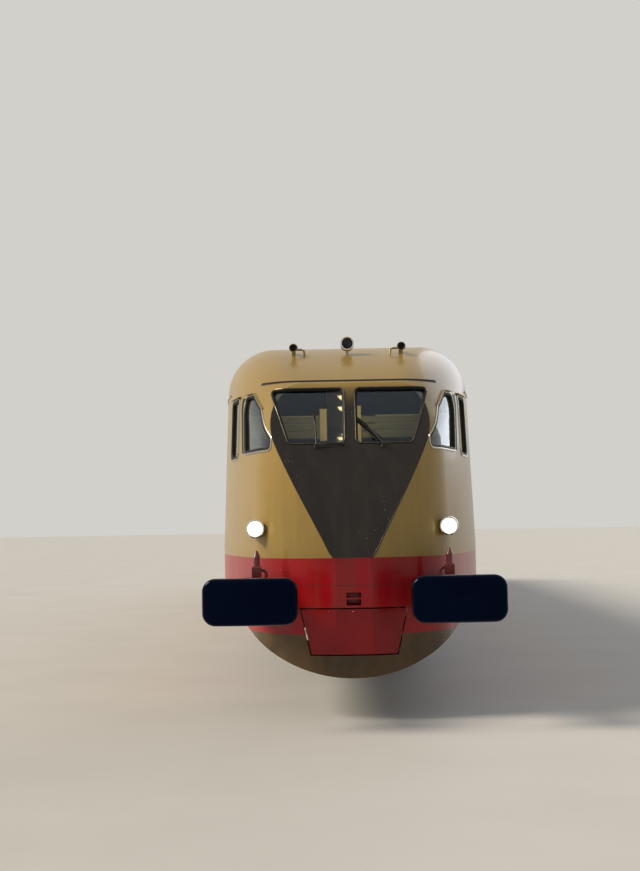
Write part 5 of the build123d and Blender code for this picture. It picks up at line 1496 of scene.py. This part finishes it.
# %% Gauges
DESK_TOP = Vector((0, behind(0.900), up(FLOOR + 0.980)))
DESK_FOOT = Vector((0, behind(1.330), up(FLOOR + 0.850)))
SLOPE_OUT = Vector((0, 0.130, 0.430)).normalized()
GAUGE_X, GAUGE_SHARE = (-0.650, -0.500, -0.350, -0.200, 0.150), 0.42
GAUGE_RIM = ((-0.004, 0.062), (0.016, 0.062), (0.022, 0.056), (0.018, 0.050), (0.010, 0.050))
DIAL = ((0.010, 0.050), (0.0105, 0.0))
NEEDLE, NEEDLE_OFF, NEEDLE_TAIL = 0.036, 0.013, 0.2


def on_desk(x, share):
    """A point on the slope, this share of the way down it."""
    return DESK_TOP.lerp(DESK_FOOT, share) + Vector((x, 0, 0))


rims, dials, needles = [], [], []
for i, x in enumerate(GAUGE_X):
    spot = on_desk(x, GAUGE_SHARE)
    rims.append(turned(GAUGE_RIM, spot, SLOPE_OUT))
    dials.append(turned(DIAL, spot, SLOPE_OUT))
    angle = 0.7 + i * 0.8
    tip = Vector((math.sin(angle), 0.957 * math.cos(angle), -0.289 * math.cos(angle))) * NEEDLE
    pin = spot + SLOPE_OUT * NEEDLE_OFF
    needles.append(tube([pin - tip * NEEDLE_TAIL, pin + tip], 0.0016, 6))
# White enamel fired on sheet iron: clean and glossy.
dial_enamel = plain("white_dial_enamel", "#E8E4D8", "#DCD7C9", 0.02, 0.3)
print("gauges", len(rims))

# %% [markdown]
# ## Controller and brake valve
# The controller is a chromed handwheel with four spokes on a post, and the brake valve a brass body with a
# short lever. Both stand square on the desk's slope. They have no joint of their own in the CAD model, so
# they are drawn at rest.

# %% Controller and brake valve
RING_ACROSS, RING_UP, RING_DIP, RING_LIFT, RING_POINTS = 0.085, 0.081, 0.025, 0.110, 24
WHEEL_POST = ((0.000, 0.045), (0.020, 0.045), (0.028, 0.030), (0.095, 0.022), (0.118, 0.018), (0.120, 0.0))
VALVE_BODY = ((0.000, 0.040), (0.055, 0.036), (0.060, 0.028), (0.090, 0.016), (0.092, 0.0))
LEVER = Vector((0.12, 0.05, -0.012))

controller = on_desk(-0.480, 0.80)
brake = on_desk(-0.160, 0.80)
ring = [controller + SLOPE_OUT * RING_LIFT
        + Vector((RING_ACROSS * math.cos(a), RING_UP * math.sin(a), -RING_DIP * math.sin(a)))
        for a in around(RING_POINTS) + [2 * math.pi]]
handwheel = joined(tube(ring, 0.008, 8), turned(WHEEL_POST, controller, SLOPE_OUT, 24),
                   tube([ring[0], ring[12]], 0.006, 8), tube([ring[6], ring[18]], 0.006, 8))
lever = tube([brake + SLOPE_OUT * 0.080, brake + SLOPE_OUT * 0.084 + LEVER], [0.009, 0.012], 10)
valve = joined(turned(VALVE_BODY, brake, SLOPE_OUT, 24), lever)
desk_pieces = (("gauge_rims", joined(*rims), brass), ("gauge_dials", joined(*dials), dial_enamel),
               ("gauge_needles", joined(*needles), black_and_painted_shade), ("controller_wheel", handwheel, chrome),
               ("brake_valve", valve, brass))
for suffix in ("front", "rear"):
    for kind, shape, finish in desk_pieces:
        shape = mirrored(mirrored(shape, 1), 0) if suffix == "rear" else shape
        piece(f"{kind}_{suffix}", shape, finish)

# %% [markdown]
# ## Stuffed pads
# A seat of this time is horsehair under leather: high in the middle, drawn in along its sides, with sewn
# channels and a piped edge. Cloth simulation could blow up one such pad, but seventy-six of them are too
# many for it. So the stuffing is a formula over a grid: the height falls off near the edges, a narrow dip
# makes each channel, and the sides pull in between the corners.

# %% Pads
PAD_ROUND = 4
UNDERSIDE = 0.72
CHANNEL_DEPTH, CHANNEL_POWER = 0.10, 12
WELT, WELT_OUT = 0.005, 1.004


def pillow(size, crown=0.25, pull=0.02, rows=10, columns=16, channels=0):
    """A stuffed pad about the origin and the points of its rim."""
    width, depth, height = size
    top = []
    for i in range(rows + 1):
        for k in range(columns + 1):
            u, v = 2 * k / columns - 1, 2 * i / rows - 1
            x = u * width / 2 * (1 - pull * (1 - v * v))
            y = v * depth / 2 * (1 - pull * (1 - u * u))
            edge = (1 - abs(u) ** PAD_ROUND) ** 0.5 * (1 - abs(v) ** PAD_ROUND) ** 0.5
            groove = 0.0
            if channels:
                groove = CHANNEL_DEPTH * math.cos(math.pi * channels * (u + 1)) ** CHANNEL_POWER
            level = height / 2 * ((1 - crown) * min(1.0, edge * 2.2) + crown * edge - groove * edge)
            top.append(Vector((x, y, level)))
    bottom = [Vector((p.x, p.y, -p.z * UNDERSIDE)) for p in top]
    return (top + bottom, two_grids(rows, columns)), [top[i] for i in rim_of(rows, columns)]


def sewn_pad(size, place, turn, **settings):
    """A pad with its piping, turned and moved to its place."""
    pad, rim = pillow(size, **settings)
    section = [(WELT * math.cos(a), WELT * math.sin(a)) for a in around(6)]
    welt = swept([p * WELT_OUT for p in rim], [Vector(UPRIGHT)] * len(rim), section)
    return moved(joined(pad, welt), place, turn)


def tilted(degrees, facing):
    """Turns a pad about X by a tilt, for a seat that faces +Y (1) or -Y (-1)."""
    return Matrix.Rotation(math.radians(degrees) * facing, 3, "X")


print("points in a pad", len(pillow((1, 1, 1))[0][0]))

# %% [markdown]
# ## Drivers' chairs
# Each chair stands on one turned leg, and two bent bars carry its back. The seat and the back are sewn pads.
# They replace the CAD model's plain chairs.

# %% Drivers' chairs
CHAIR_X = 0.550
SEAT_DISTANCE, SEAT_RISE = 1.800, 0.480
BACK_DISTANCE, BACK_RISE = 2.075, 0.760
CHAIR_SEAT, CHAIR_BACK = (0.420, 0.440, 0.100), (0.410, 0.440, 0.085)
LEG = ((-0.480, 0.150), (-0.470, 0.150), (-0.455, 0.060), (-0.440, 0.045), (-0.120, 0.040),
       (-0.090, 0.120), (-0.055, 0.130), (-0.055, 0.0))

chair_pads, chair_frames = [], []
for sign in (-1, 1):
    x = sign * CHAIR_X
    seat_at = Vector((x, -sign * behind(SEAT_DISTANCE), up(FLOOR + SEAT_RISE)))
    back_at = Vector((x, -sign * behind(BACK_DISTANCE), up(FLOOR + BACK_RISE)))
    chair_pads.append(sewn_pad(CHAIR_SEAT, seat_at, tilted(-4, sign), crown=0.35, columns=14))
    chair_pads.append(sewn_pad(CHAIR_BACK, back_at, tilted(82, sign), crown=0.35, columns=14))
    chair_frames.append(turned(LEG, seat_at, UPRIGHT, 28))
    for side in (-0.17, 0.17):
        bar = [seat_at + Vector((side, sign * 0.02, -0.060)), seat_at + Vector((side, sign * 0.25, -0.055)),
               seat_at + Vector((side, sign * 0.30, 0.02)), back_at + Vector((side, sign * 0.055, 0.10))]
        chair_frames.append(tube(bar, 0.012, 10))
chair_cushions = piece("driver_chair_cushions", joined(*chair_pads), leather)
chair_stands = piece("driver_chair_stands", joined(*chair_frames), black_iron)
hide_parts("driver_chairs")
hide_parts("driver_chairs")

# %% [markdown]
# ## Where the benches stand
# Thirty-six double benches stand in rows on both sides of the aisle. The CAD model has them as plain solids.
# Their places are read from it rather than typed in again: the points of the right-hand row fall into groups
# along the car, with a gap between one bench and the next, and a bench faces away from its high back.

# %% Bench places
SEAT_HEIGHT, BACK_HEIGHT = 0.430, 1.100
BENCH_GAP = 0.26


def bench_places():
    """Both sides, both ends and the facing of each right-hand bench."""
    points = [v.co for v in nodes["saloon_seats"].data.vertices if v.co.x > 0]
    levels = sorted({round(p.y, 3) for p in points})
    groups = [[levels[0]]]
    for y in levels[1:]:
        if y - groups[-1][-1] > BENCH_GAP:
            groups.append([])
        groups[-1].append(y)
    x0, x1 = min(p.x for p in points), max(p.x for p in points)
    back_top = up(FLOOR + BACK_HEIGHT) - 0.01
    benches = []
    for y0, y1 in ((group[0], group[-1]) for group in groups):
        backs = [p.y for p in points if y0 <= round(p.y, 3) <= y1 and p.z > back_top]
        facing = 1 if sum(backs) / len(backs) < (y0 + y1) / 2 else -1
        benches.append((x0, x1, y0, y1, facing))
    return benches


benches = bench_places()
print("benches on the right", len(benches))

# %% [markdown]
# ## Saloon benches
# Each bench has a crowned seat and back of red-brown leather, sewn in channels and piped round the edge, a
# back shell of varnished plywood and a frame of bent, chromed tube. They replace the CAD benches.

# %% Benches
SEAT_DEPTH, SEAT_THICK, SEAT_OFF = 0.450, 0.130, 0.335
BACK_TALL, BACK_THICK, BACK_OFF, BACK_MIDDLE = 0.620, 0.100, 0.110, 0.760
PAD_GAP = 0.03
SHELL_LOW, SHELL_NEAR, SHELL_FAR = 0.36, 0.002, 0.030
FRAME_BENDS = ((0.03, 0.0), (0.05, 0.30), (0.45, 0.34), (0.52, 0.30), (0.50, 0.0))
# Varnished plywood: a tan veneer under a thin gloss.
tan_board = plain("varnished_tan_plywood", "#B08A52", "#9A7743", 0.12, 0.35, grit=(0.02, 0.0004),
                  Coat_Weight=0.3)


def bench(x0, x1, y0, y1, facing):
    """Seat pad, back pad, shell and frame of one bench."""
    back_y = y0 if facing > 0 else y1
    x, width = (x0 + x1) / 2, x1 - x0 - PAD_GAP
    seat_at = (x, back_y + facing * SEAT_OFF, up(FLOOR + SEAT_HEIGHT - 0.030))
    back_at = (x, back_y + facing * BACK_OFF, up(FLOOR + BACK_MIDDLE))
    seat = sewn_pad((width, SEAT_DEPTH, SEAT_THICK), seat_at, tilted(4, facing), channels=3, rows=8)
    back = sewn_pad((width, BACK_TALL, BACK_THICK), back_at, tilted(97, facing), channels=3, rows=8)
    shell_y = sorted((back_y + facing * SHELL_NEAR, back_y + facing * SHELL_FAR))
    shell = slab((x0 + 0.004, shell_y[0], up(FLOOR + SHELL_LOW)),
                 (x1 - 0.004, shell_y[1], up(FLOOR + BACK_HEIGHT - 0.01)), 0.010, 2)
    legs = [tube([(side, back_y + facing * off, up(FLOOR + rise)) for off, rise in FRAME_BENDS], 0.014, 8)
            for side in (x0 + 0.035, x1 - 0.035)]
    top = up(FLOOR + BACK_HEIGHT)
    rail_y = back_y + facing * 0.02
    rail = tube([(x0 + 0.05, rail_y, top), (x0 + 0.30, rail_y, top + 0.012), (x1 - 0.05, rail_y, top)],
                0.012, 8)
    return seat, back, shell, joined(*legs, rail)


made = zip(*[bench(*spot) for spot in benches])
seats, backs, shells, frames = (both(joined(*shapes), 0) for shapes in made)
bench_seats = piece("bench_seat_cushions", seats, leather)
bench_backs = piece("bench_back_cushions", backs, leather)
for cushions in (bench_seats, bench_backs):
    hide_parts("saloon_seats")
bench_shells = piece("bench_shells", shells, tan_board)
bench_frames = piece("bench_frames", frames, chrome)
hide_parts("saloon_seats")
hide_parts("saloon_seats")

# %% [markdown]
# ## Roof walkway
# A boarded walkway runs along the middle of the roof and gives access to the pantograph. The boards are
# planks in lengths of about 2.9 m, with gaps between them, on cross bearers that stand on short feet.
# Blocks with a small bevel are all it needs, and the bevels let each board catch its own light.

# %% Roof walkway
BOARD_LOW, BOARD_HIGH, BOARD_HALF = 3.640, 3.665, 0.056
BOARD_ROWS = (-0.190, -0.065, 0.065, 0.190)
BOARD_ENDS = ((-8.60, -5.72), (-5.70, -2.82), (-2.80, 0.08), (0.10, 2.98), (3.00, 4.30))
BEARERS, FIRST_BEARER, BEARER_SPACING = 14, -8.45, 0.97

boards = [slab((x - BOARD_HALF, y0, up(BOARD_LOW)), (x + BOARD_HALF, y1, up(BOARD_HIGH)), 0.004, 2)
          for x in BOARD_ROWS for y0, y1 in BOARD_ENDS]
bearers = []
for k in range(BEARERS):
    y = FIRST_BEARER + k * BEARER_SPACING
    bearers.append(slab((-0.26, y - 0.025, up(3.615)), (0.26, y + 0.025, up(BOARD_LOW) - 0.0005), 0.003, 1))
    for x in (-0.20, 0.20):
        bearers.append(slab((x - 0.02, y - 0.02, up(3.560)), (x + 0.02, y + 0.02, up(3.616)), 0.003, 1))
piece("roof_walkway_boards", joined(*boards), roof_grime)
piece("roof_walkway_bearers", joined(*bearers), black_iron)

# %% [markdown]
# ## Pantograph bracing
# Each of the four folding frames is two side tubes in the CAD model. Cross bars and a thin diagonal cross
# keep the real one square. They are worked out from the folded linkage, 4 degrees above level, and each
# rides on its own frame, so they rise with it.

# %% Pantograph bracing
PANTO_Y, ARM, HALF_SPREAD = 6.000, 1.200, 0.160
FOLDED = math.radians(4)
BASE_Z = up(3.820)
KNEE_Z = BASE_Z + ARM * math.sin(FOLDED)
HEAD_Z = BASE_Z + 2 * ARM * math.sin(FOLDED)
REACH = ARM * math.cos(FOLDED)
LOWER_HALF, UPPER_HALF = 0.500, 0.560


def bracing(y0, z0, y1, z1, half):
    """Two cross bars and a diagonal cross between the side tubes of one folded frame."""
    def at(x, share):
        """A point of the frame, this share of the way from its pivot."""
        return Vector((x, y0 + (y1 - y0) * share, z0 + (z1 - z0) * share))
    bars = [tube([at(-half, share), at(half, share)], 0.010, 10) for share in (0.20, 0.60)]
    bars.append(tube([at(-half, 0.20), at(0, 0.40), at(half, 0.60)], 0.006, 8))
    bars.append(tube([at(half, 0.20), at(0, 0.40), at(-half, 0.60)], 0.006, 8))
    return joined(*bars)


for name, way in (("front", -1), ("rear", 1)):
    pivot_y = PANTO_Y + way * HALF_SPREAD
    knee_y = pivot_y + way * REACH
    for level, start_z, half in (("lower", BASE_Z, LOWER_HALF), ("upper", HEAD_Z, UPPER_HALF)):
        piece(f"pantograph_{level}_bracing_{name}", bracing(pivot_y, start_z, knee_y, KNEE_Z, half),
              panto_enamel, f"pantograph_{level}_{name}")

# %% [markdown]
# ## Collector strips
# The head wears strips of carbon, pressed in short lengths that can be changed one by one. Each row of
# three lies in a copper seat. All are blocks a few millimetres thick, placed from the folded linkage, and
# they ride on the head.

# %% Collector strips
STRIP_OFF, STRIP_PLACES = 0.290, (-0.44, 0.0, 0.44)
STRIP_HALF, CARBON_LOW, CARBON_HIGH = 0.214, 0.1235, 0.142
SEAT_HALF, COPPER_LOW, COPPER_HIGH = 0.66, 0.1195, 0.1240

strips, strip_seats = [], []
for y in (PANTO_Y - STRIP_OFF, PANTO_Y + STRIP_OFF):
    for x in STRIP_PLACES:
        strips.append(slab((x - STRIP_HALF, y - 0.018, HEAD_Z + CARBON_LOW),
                           (x + STRIP_HALF, y + 0.018, HEAD_Z + CARBON_HIGH), 0.003, 2))
    strip_seats.append(slab((-SEAT_HALF, y - 0.022, HEAD_Z + COPPER_LOW),
                            (SEAT_HALF, y + 0.022, HEAD_Z + COPPER_HIGH), 0.001, 1))
piece("pantograph_carbon_strips", joined(*strips), carbon, "pantograph_head")
piece("pantograph_strip_seats", joined(*strip_seats), copper, "pantograph_head")

# %% [markdown]
# ## Springs, bushing and bus bar
# Two coil springs on the base lift the frames. Beside them the current enters the roof through a porcelain
# bushing, whose sheds keep the rain from running down it in one stream, and a bent copper bar joins it to
# the base. A spring is a bar along a helix, and the bushing is a turned profile.

# %% Springs, bushing and bus bar
SPRING_X, SPRING_FROM, SPRING_LENGTH, SPRING_HEIGHT = 0.300, 5.420, 0.300, 3.735
COILS, COIL_POINTS, COIL_RADIUS, WIRE_RADIUS = 14, 12, 0.022, 0.0045
SPRING_ENDS = (5.405, 5.722)
BUSHING = ((-0.080, 0.085), (0.000, 0.085), (0.012, 0.050), (0.020, 0.072), (0.040, 0.045), (0.050, 0.066),
           (0.070, 0.042), (0.080, 0.060), (0.100, 0.036), (0.115, 0.034), (0.118, 0.0))
BUSHING_Y = 4.720
BUS_BENDS = ((BUSHING_Y, 3.705), (BUSHING_Y, 3.725), (4.80, 3.738), (5.36, 3.738))

springs, spring_ends = [], []
for x in (-SPRING_X, SPRING_X):
    coil = []
    for k in range(COILS * COIL_POINTS + 1):
        angle = 2 * math.pi * k / COIL_POINTS
        y = SPRING_FROM + SPRING_LENGTH * k / (COILS * COIL_POINTS)
        coil.append((x + COIL_RADIUS * math.cos(angle), y, up(SPRING_HEIGHT) + COIL_RADIUS * math.sin(angle)))
    springs.append(tube(coil, WIRE_RADIUS, 6))
    for y in SPRING_ENDS:
        spring_ends.append(slab((x - 0.03, y - 0.008, up(3.700)),
                                (x + 0.03, y + 0.008, up(3.765)), 0.003, 1))
piece("pantograph_springs", joined(*springs), gear_iron)
piece("roof_bushing", turned(BUSHING, (0.0, BUSHING_Y, up(3.590)), UPRIGHT), porcelain)
bus = tube([(0.0, y, up(height)) for y, height in BUS_BENDS], 0.012, 10)
piece("roof_bus_bar", joined(bus, *spring_ends), copper)

# %% [markdown]
# ## Axle boxes and springs
# Each axle box is closed by a round cap with eight bolts, and two clips hold the leaves of each spring
# together. Only the rear bogie's right side is drawn: its mirror images make the other side and the front
# bogie, and each set rides on its own bogie.

# %% Caps and clips
BOX_X, BOX_FACE = 1.000, 1.121
BOGIE_MIDDLE = 7.2
CAP = ((0.000, 0.052), (0.006, 0.050), (0.014, 0.034), (0.016, 0.0))
CAP_BOLT = ((0.000, 0.009), (0.009, 0.009), (0.010, 0.007), (0.010, 0.0))
BOLT_CIRCLE, BOLTS = 0.076, 8
CLIP_OFF, CLIP_LOW, CLIP_HIGH = 0.110, 0.632, 0.702
OUTWARD = (1, 0, 0)
axle_z = up(AXLE_HEIGHT)

caps, irons = [], []
for y in AXLE_PLACES:
    for k in range(BOLTS):
        angle = 2 * math.pi * (k + 0.5) / BOLTS
        spot = (BOX_FACE - 0.001, y + BOLT_CIRCLE * math.cos(angle), axle_z + BOLT_CIRCLE * math.sin(angle))
        caps.append(turned(CAP_BOLT, spot, OUTWARD, 6))
    caps.append(turned(CAP, (BOX_FACE - 0.001, y, axle_z), OUTWARD, 28))
    for clip_y in (y - CLIP_OFF, y + CLIP_OFF):
        irons.append(slab((BOX_X - 0.052, clip_y - 0.018, up(CLIP_LOW)),
                          (BOX_X + 0.052, clip_y + 0.018, up(CLIP_HIGH)), 0.004))
print("cap parts", len(caps), "clips", len(irons))

# %% [markdown]
# ## Brakes
# Each wheel has one cast shoe on its inner side. It is a block bent round the tread, 10 mm clear of it, and
# it hangs from the frame by a flat hanger on a pin. A pull rod joins the two hangers of a side. The
# wheels turn inside the shoes without touching them at any pose.

# %% Brake rigging
WHEEL_RADIUS = AXLE_HEIGHT
SHOE_NEAR, SHOE_FAR, SHOE_HALF_ANGLE, SHOE_X = 0.010, 0.055, 18, (0.725, 0.805)
HANGER_X, HANGER_OFF, HANGER_LOW, HANGER_HIGH = 0.765, 0.075, 0.400, 0.800
PIN = ((-0.035, 0.016), (0.035, 0.016), (0.035, 0.0))


def arc_block(y, z, near, far, first, last, x0, x1, steps=10):
    """A block bent round an axle: between two radii, two angles in degrees and two distances across."""
    points = []
    for k in range(steps + 1):
        angle = math.radians(first + (last - first) * k / steps)
        for radius, x in ((near, x0), (near, x1), (far, x1), (far, x0)):
            points.append(Vector((x, y + radius * math.cos(angle), z + radius * math.sin(angle))))
    faces = ring_faces(steps + 1, 4, False)
    faces += [(0, 1, 2, 3), tuple(reversed(range(steps * 4, steps * 4 + 4)))]
    return points, faces


rigging, hangers = [], []
for y in AXLE_PLACES:
    inward = 1 if y < BOGIE_MIDDLE else -1
    toward = 0 if inward > 0 else 180
    rigging.append(arc_block(y, axle_z, WHEEL_RADIUS + SHOE_NEAR, WHEEL_RADIUS + SHOE_FAR,
                             toward - SHOE_HALF_ANGLE, toward + SHOE_HALF_ANGLE, *SHOE_X))
    hanger_y = y + inward * (WHEEL_RADIUS + HANGER_OFF)
    rigging.append(slab((HANGER_X - 0.020, hanger_y - 0.022, up(HANGER_LOW)),
                        (HANGER_X + 0.020, hanger_y + 0.022, up(HANGER_HIGH)), 0.008, 2))
    rigging.append(turned(PIN, (HANGER_X, hanger_y, up(0.780)), OUTWARD, 14))
    hangers.append(hanger_y)
rigging.append(tube([(HANGER_X, y, up(0.415)) for y in hangers], 0.014, 10))
for y in hangers:
    carrier = [(HANGER_X, y, up(0.790)), (0.860, y, up(0.800)), (0.950, y, up(0.800))]
    rigging.append(tube(carrier, 0.016, 10))
print("brake parts", len(rigging))

# %% [markdown]
# ## Guard irons and frame bolts
# A guard iron hangs ahead of each outer wheel and sweeps small things off its path. It is one forged bar
# that thins towards its foot. Four bolts show on each side of the bogie frame. Then everything that was
# drawn for the bogies becomes pieces, one set for each bogie.

# %% Guard irons, bolts and the bogies' pieces
GUARD = ((0.985, 9.010, 0.820), (0.900, 9.070, 0.720), (0.7525, 9.090, 0.560), (0.7525, 9.085, 0.120))
GUARD_RADII = [0.020, 0.020, 0.018, 0.014]
FRAME_BOLT = ((0.000, 0.014), (0.008, 0.014), (0.011, 0.009), (0.012, 0.0))
FRAME_BOLTS, FRAME_FACE, BOLT_HEIGHT = (6.30, 6.55, 7.85, 8.10), 1.0595, 0.820

irons.append(tube([(x, y, up(height)) for x, y, height in GUARD], GUARD_RADII, 12))
frame_bolts = [turned(FRAME_BOLT, (FRAME_FACE, y, up(BOLT_HEIGHT)), OUTWARD, 16) for y in FRAME_BOLTS]
bogie_pieces = (("axle_box_caps", caps, gear_iron), ("spring_clips_and_guards", irons, black_iron),
                ("brake_rigging", rigging, gear_iron), ("frame_bolts", frame_bolts, gear_iron))
for end in ("rear", "front"):
    for kind, shapes, finish in bogie_pieces:
        shape = both(joined(*shapes), 0)
        piece(f"{kind}_{end}", mirrored(shape, 1) if end == "front" else shape, finish, f"bogie_{end}")

# %% [markdown]
# ## Pipes and step treads
# Two brake pipes run the length of the car under the floor, a thin and a thick one: plain round bars. The
# steps under the doors have four raised aluminium treads each, since wet soles slip on plain iron. They
# are real blocks, not a pattern, because they show against the light from below.

# %% Pipes and treads
PIPE_X, PIPE_END, PIPE_HEIGHT = 0.44, 9.2, 0.985
STEPS = ((1.100, 1.320, 0.732), (1.100, 1.240, 0.432))
TREADS, TREAD_HALF, TREAD_LENGTH_HALF = 4, 0.008, 0.34

pipes = [tube([(x, -PIPE_END, up(PIPE_HEIGHT)), (x, PIPE_END, up(PIPE_HEIGHT))], radius, 10)
         for x, radius in ((PIPE_X, 0.014), (-PIPE_X, 0.020))]
piece("underfloor_pipes", joined(*pipes), black_iron)
treads = []
for y in (-DOOR_CENTRE, DOOR_CENTRE):
    for inner_x, outer_x, height in STEPS:
        for k in range(TREADS):
            x = inner_x + (outer_x - inner_x) * (k + 0.5) / TREADS
            treads.append(slab((x - TREAD_HALF, y - TREAD_LENGTH_HALF, up(height) - 0.0005),
                               (x + TREAD_HALF, y + TREAD_LENGTH_HALF, up(height) + 0.005), 0.002, 1))
piece("step_treads", both(joined(*treads), 0), aluminium)
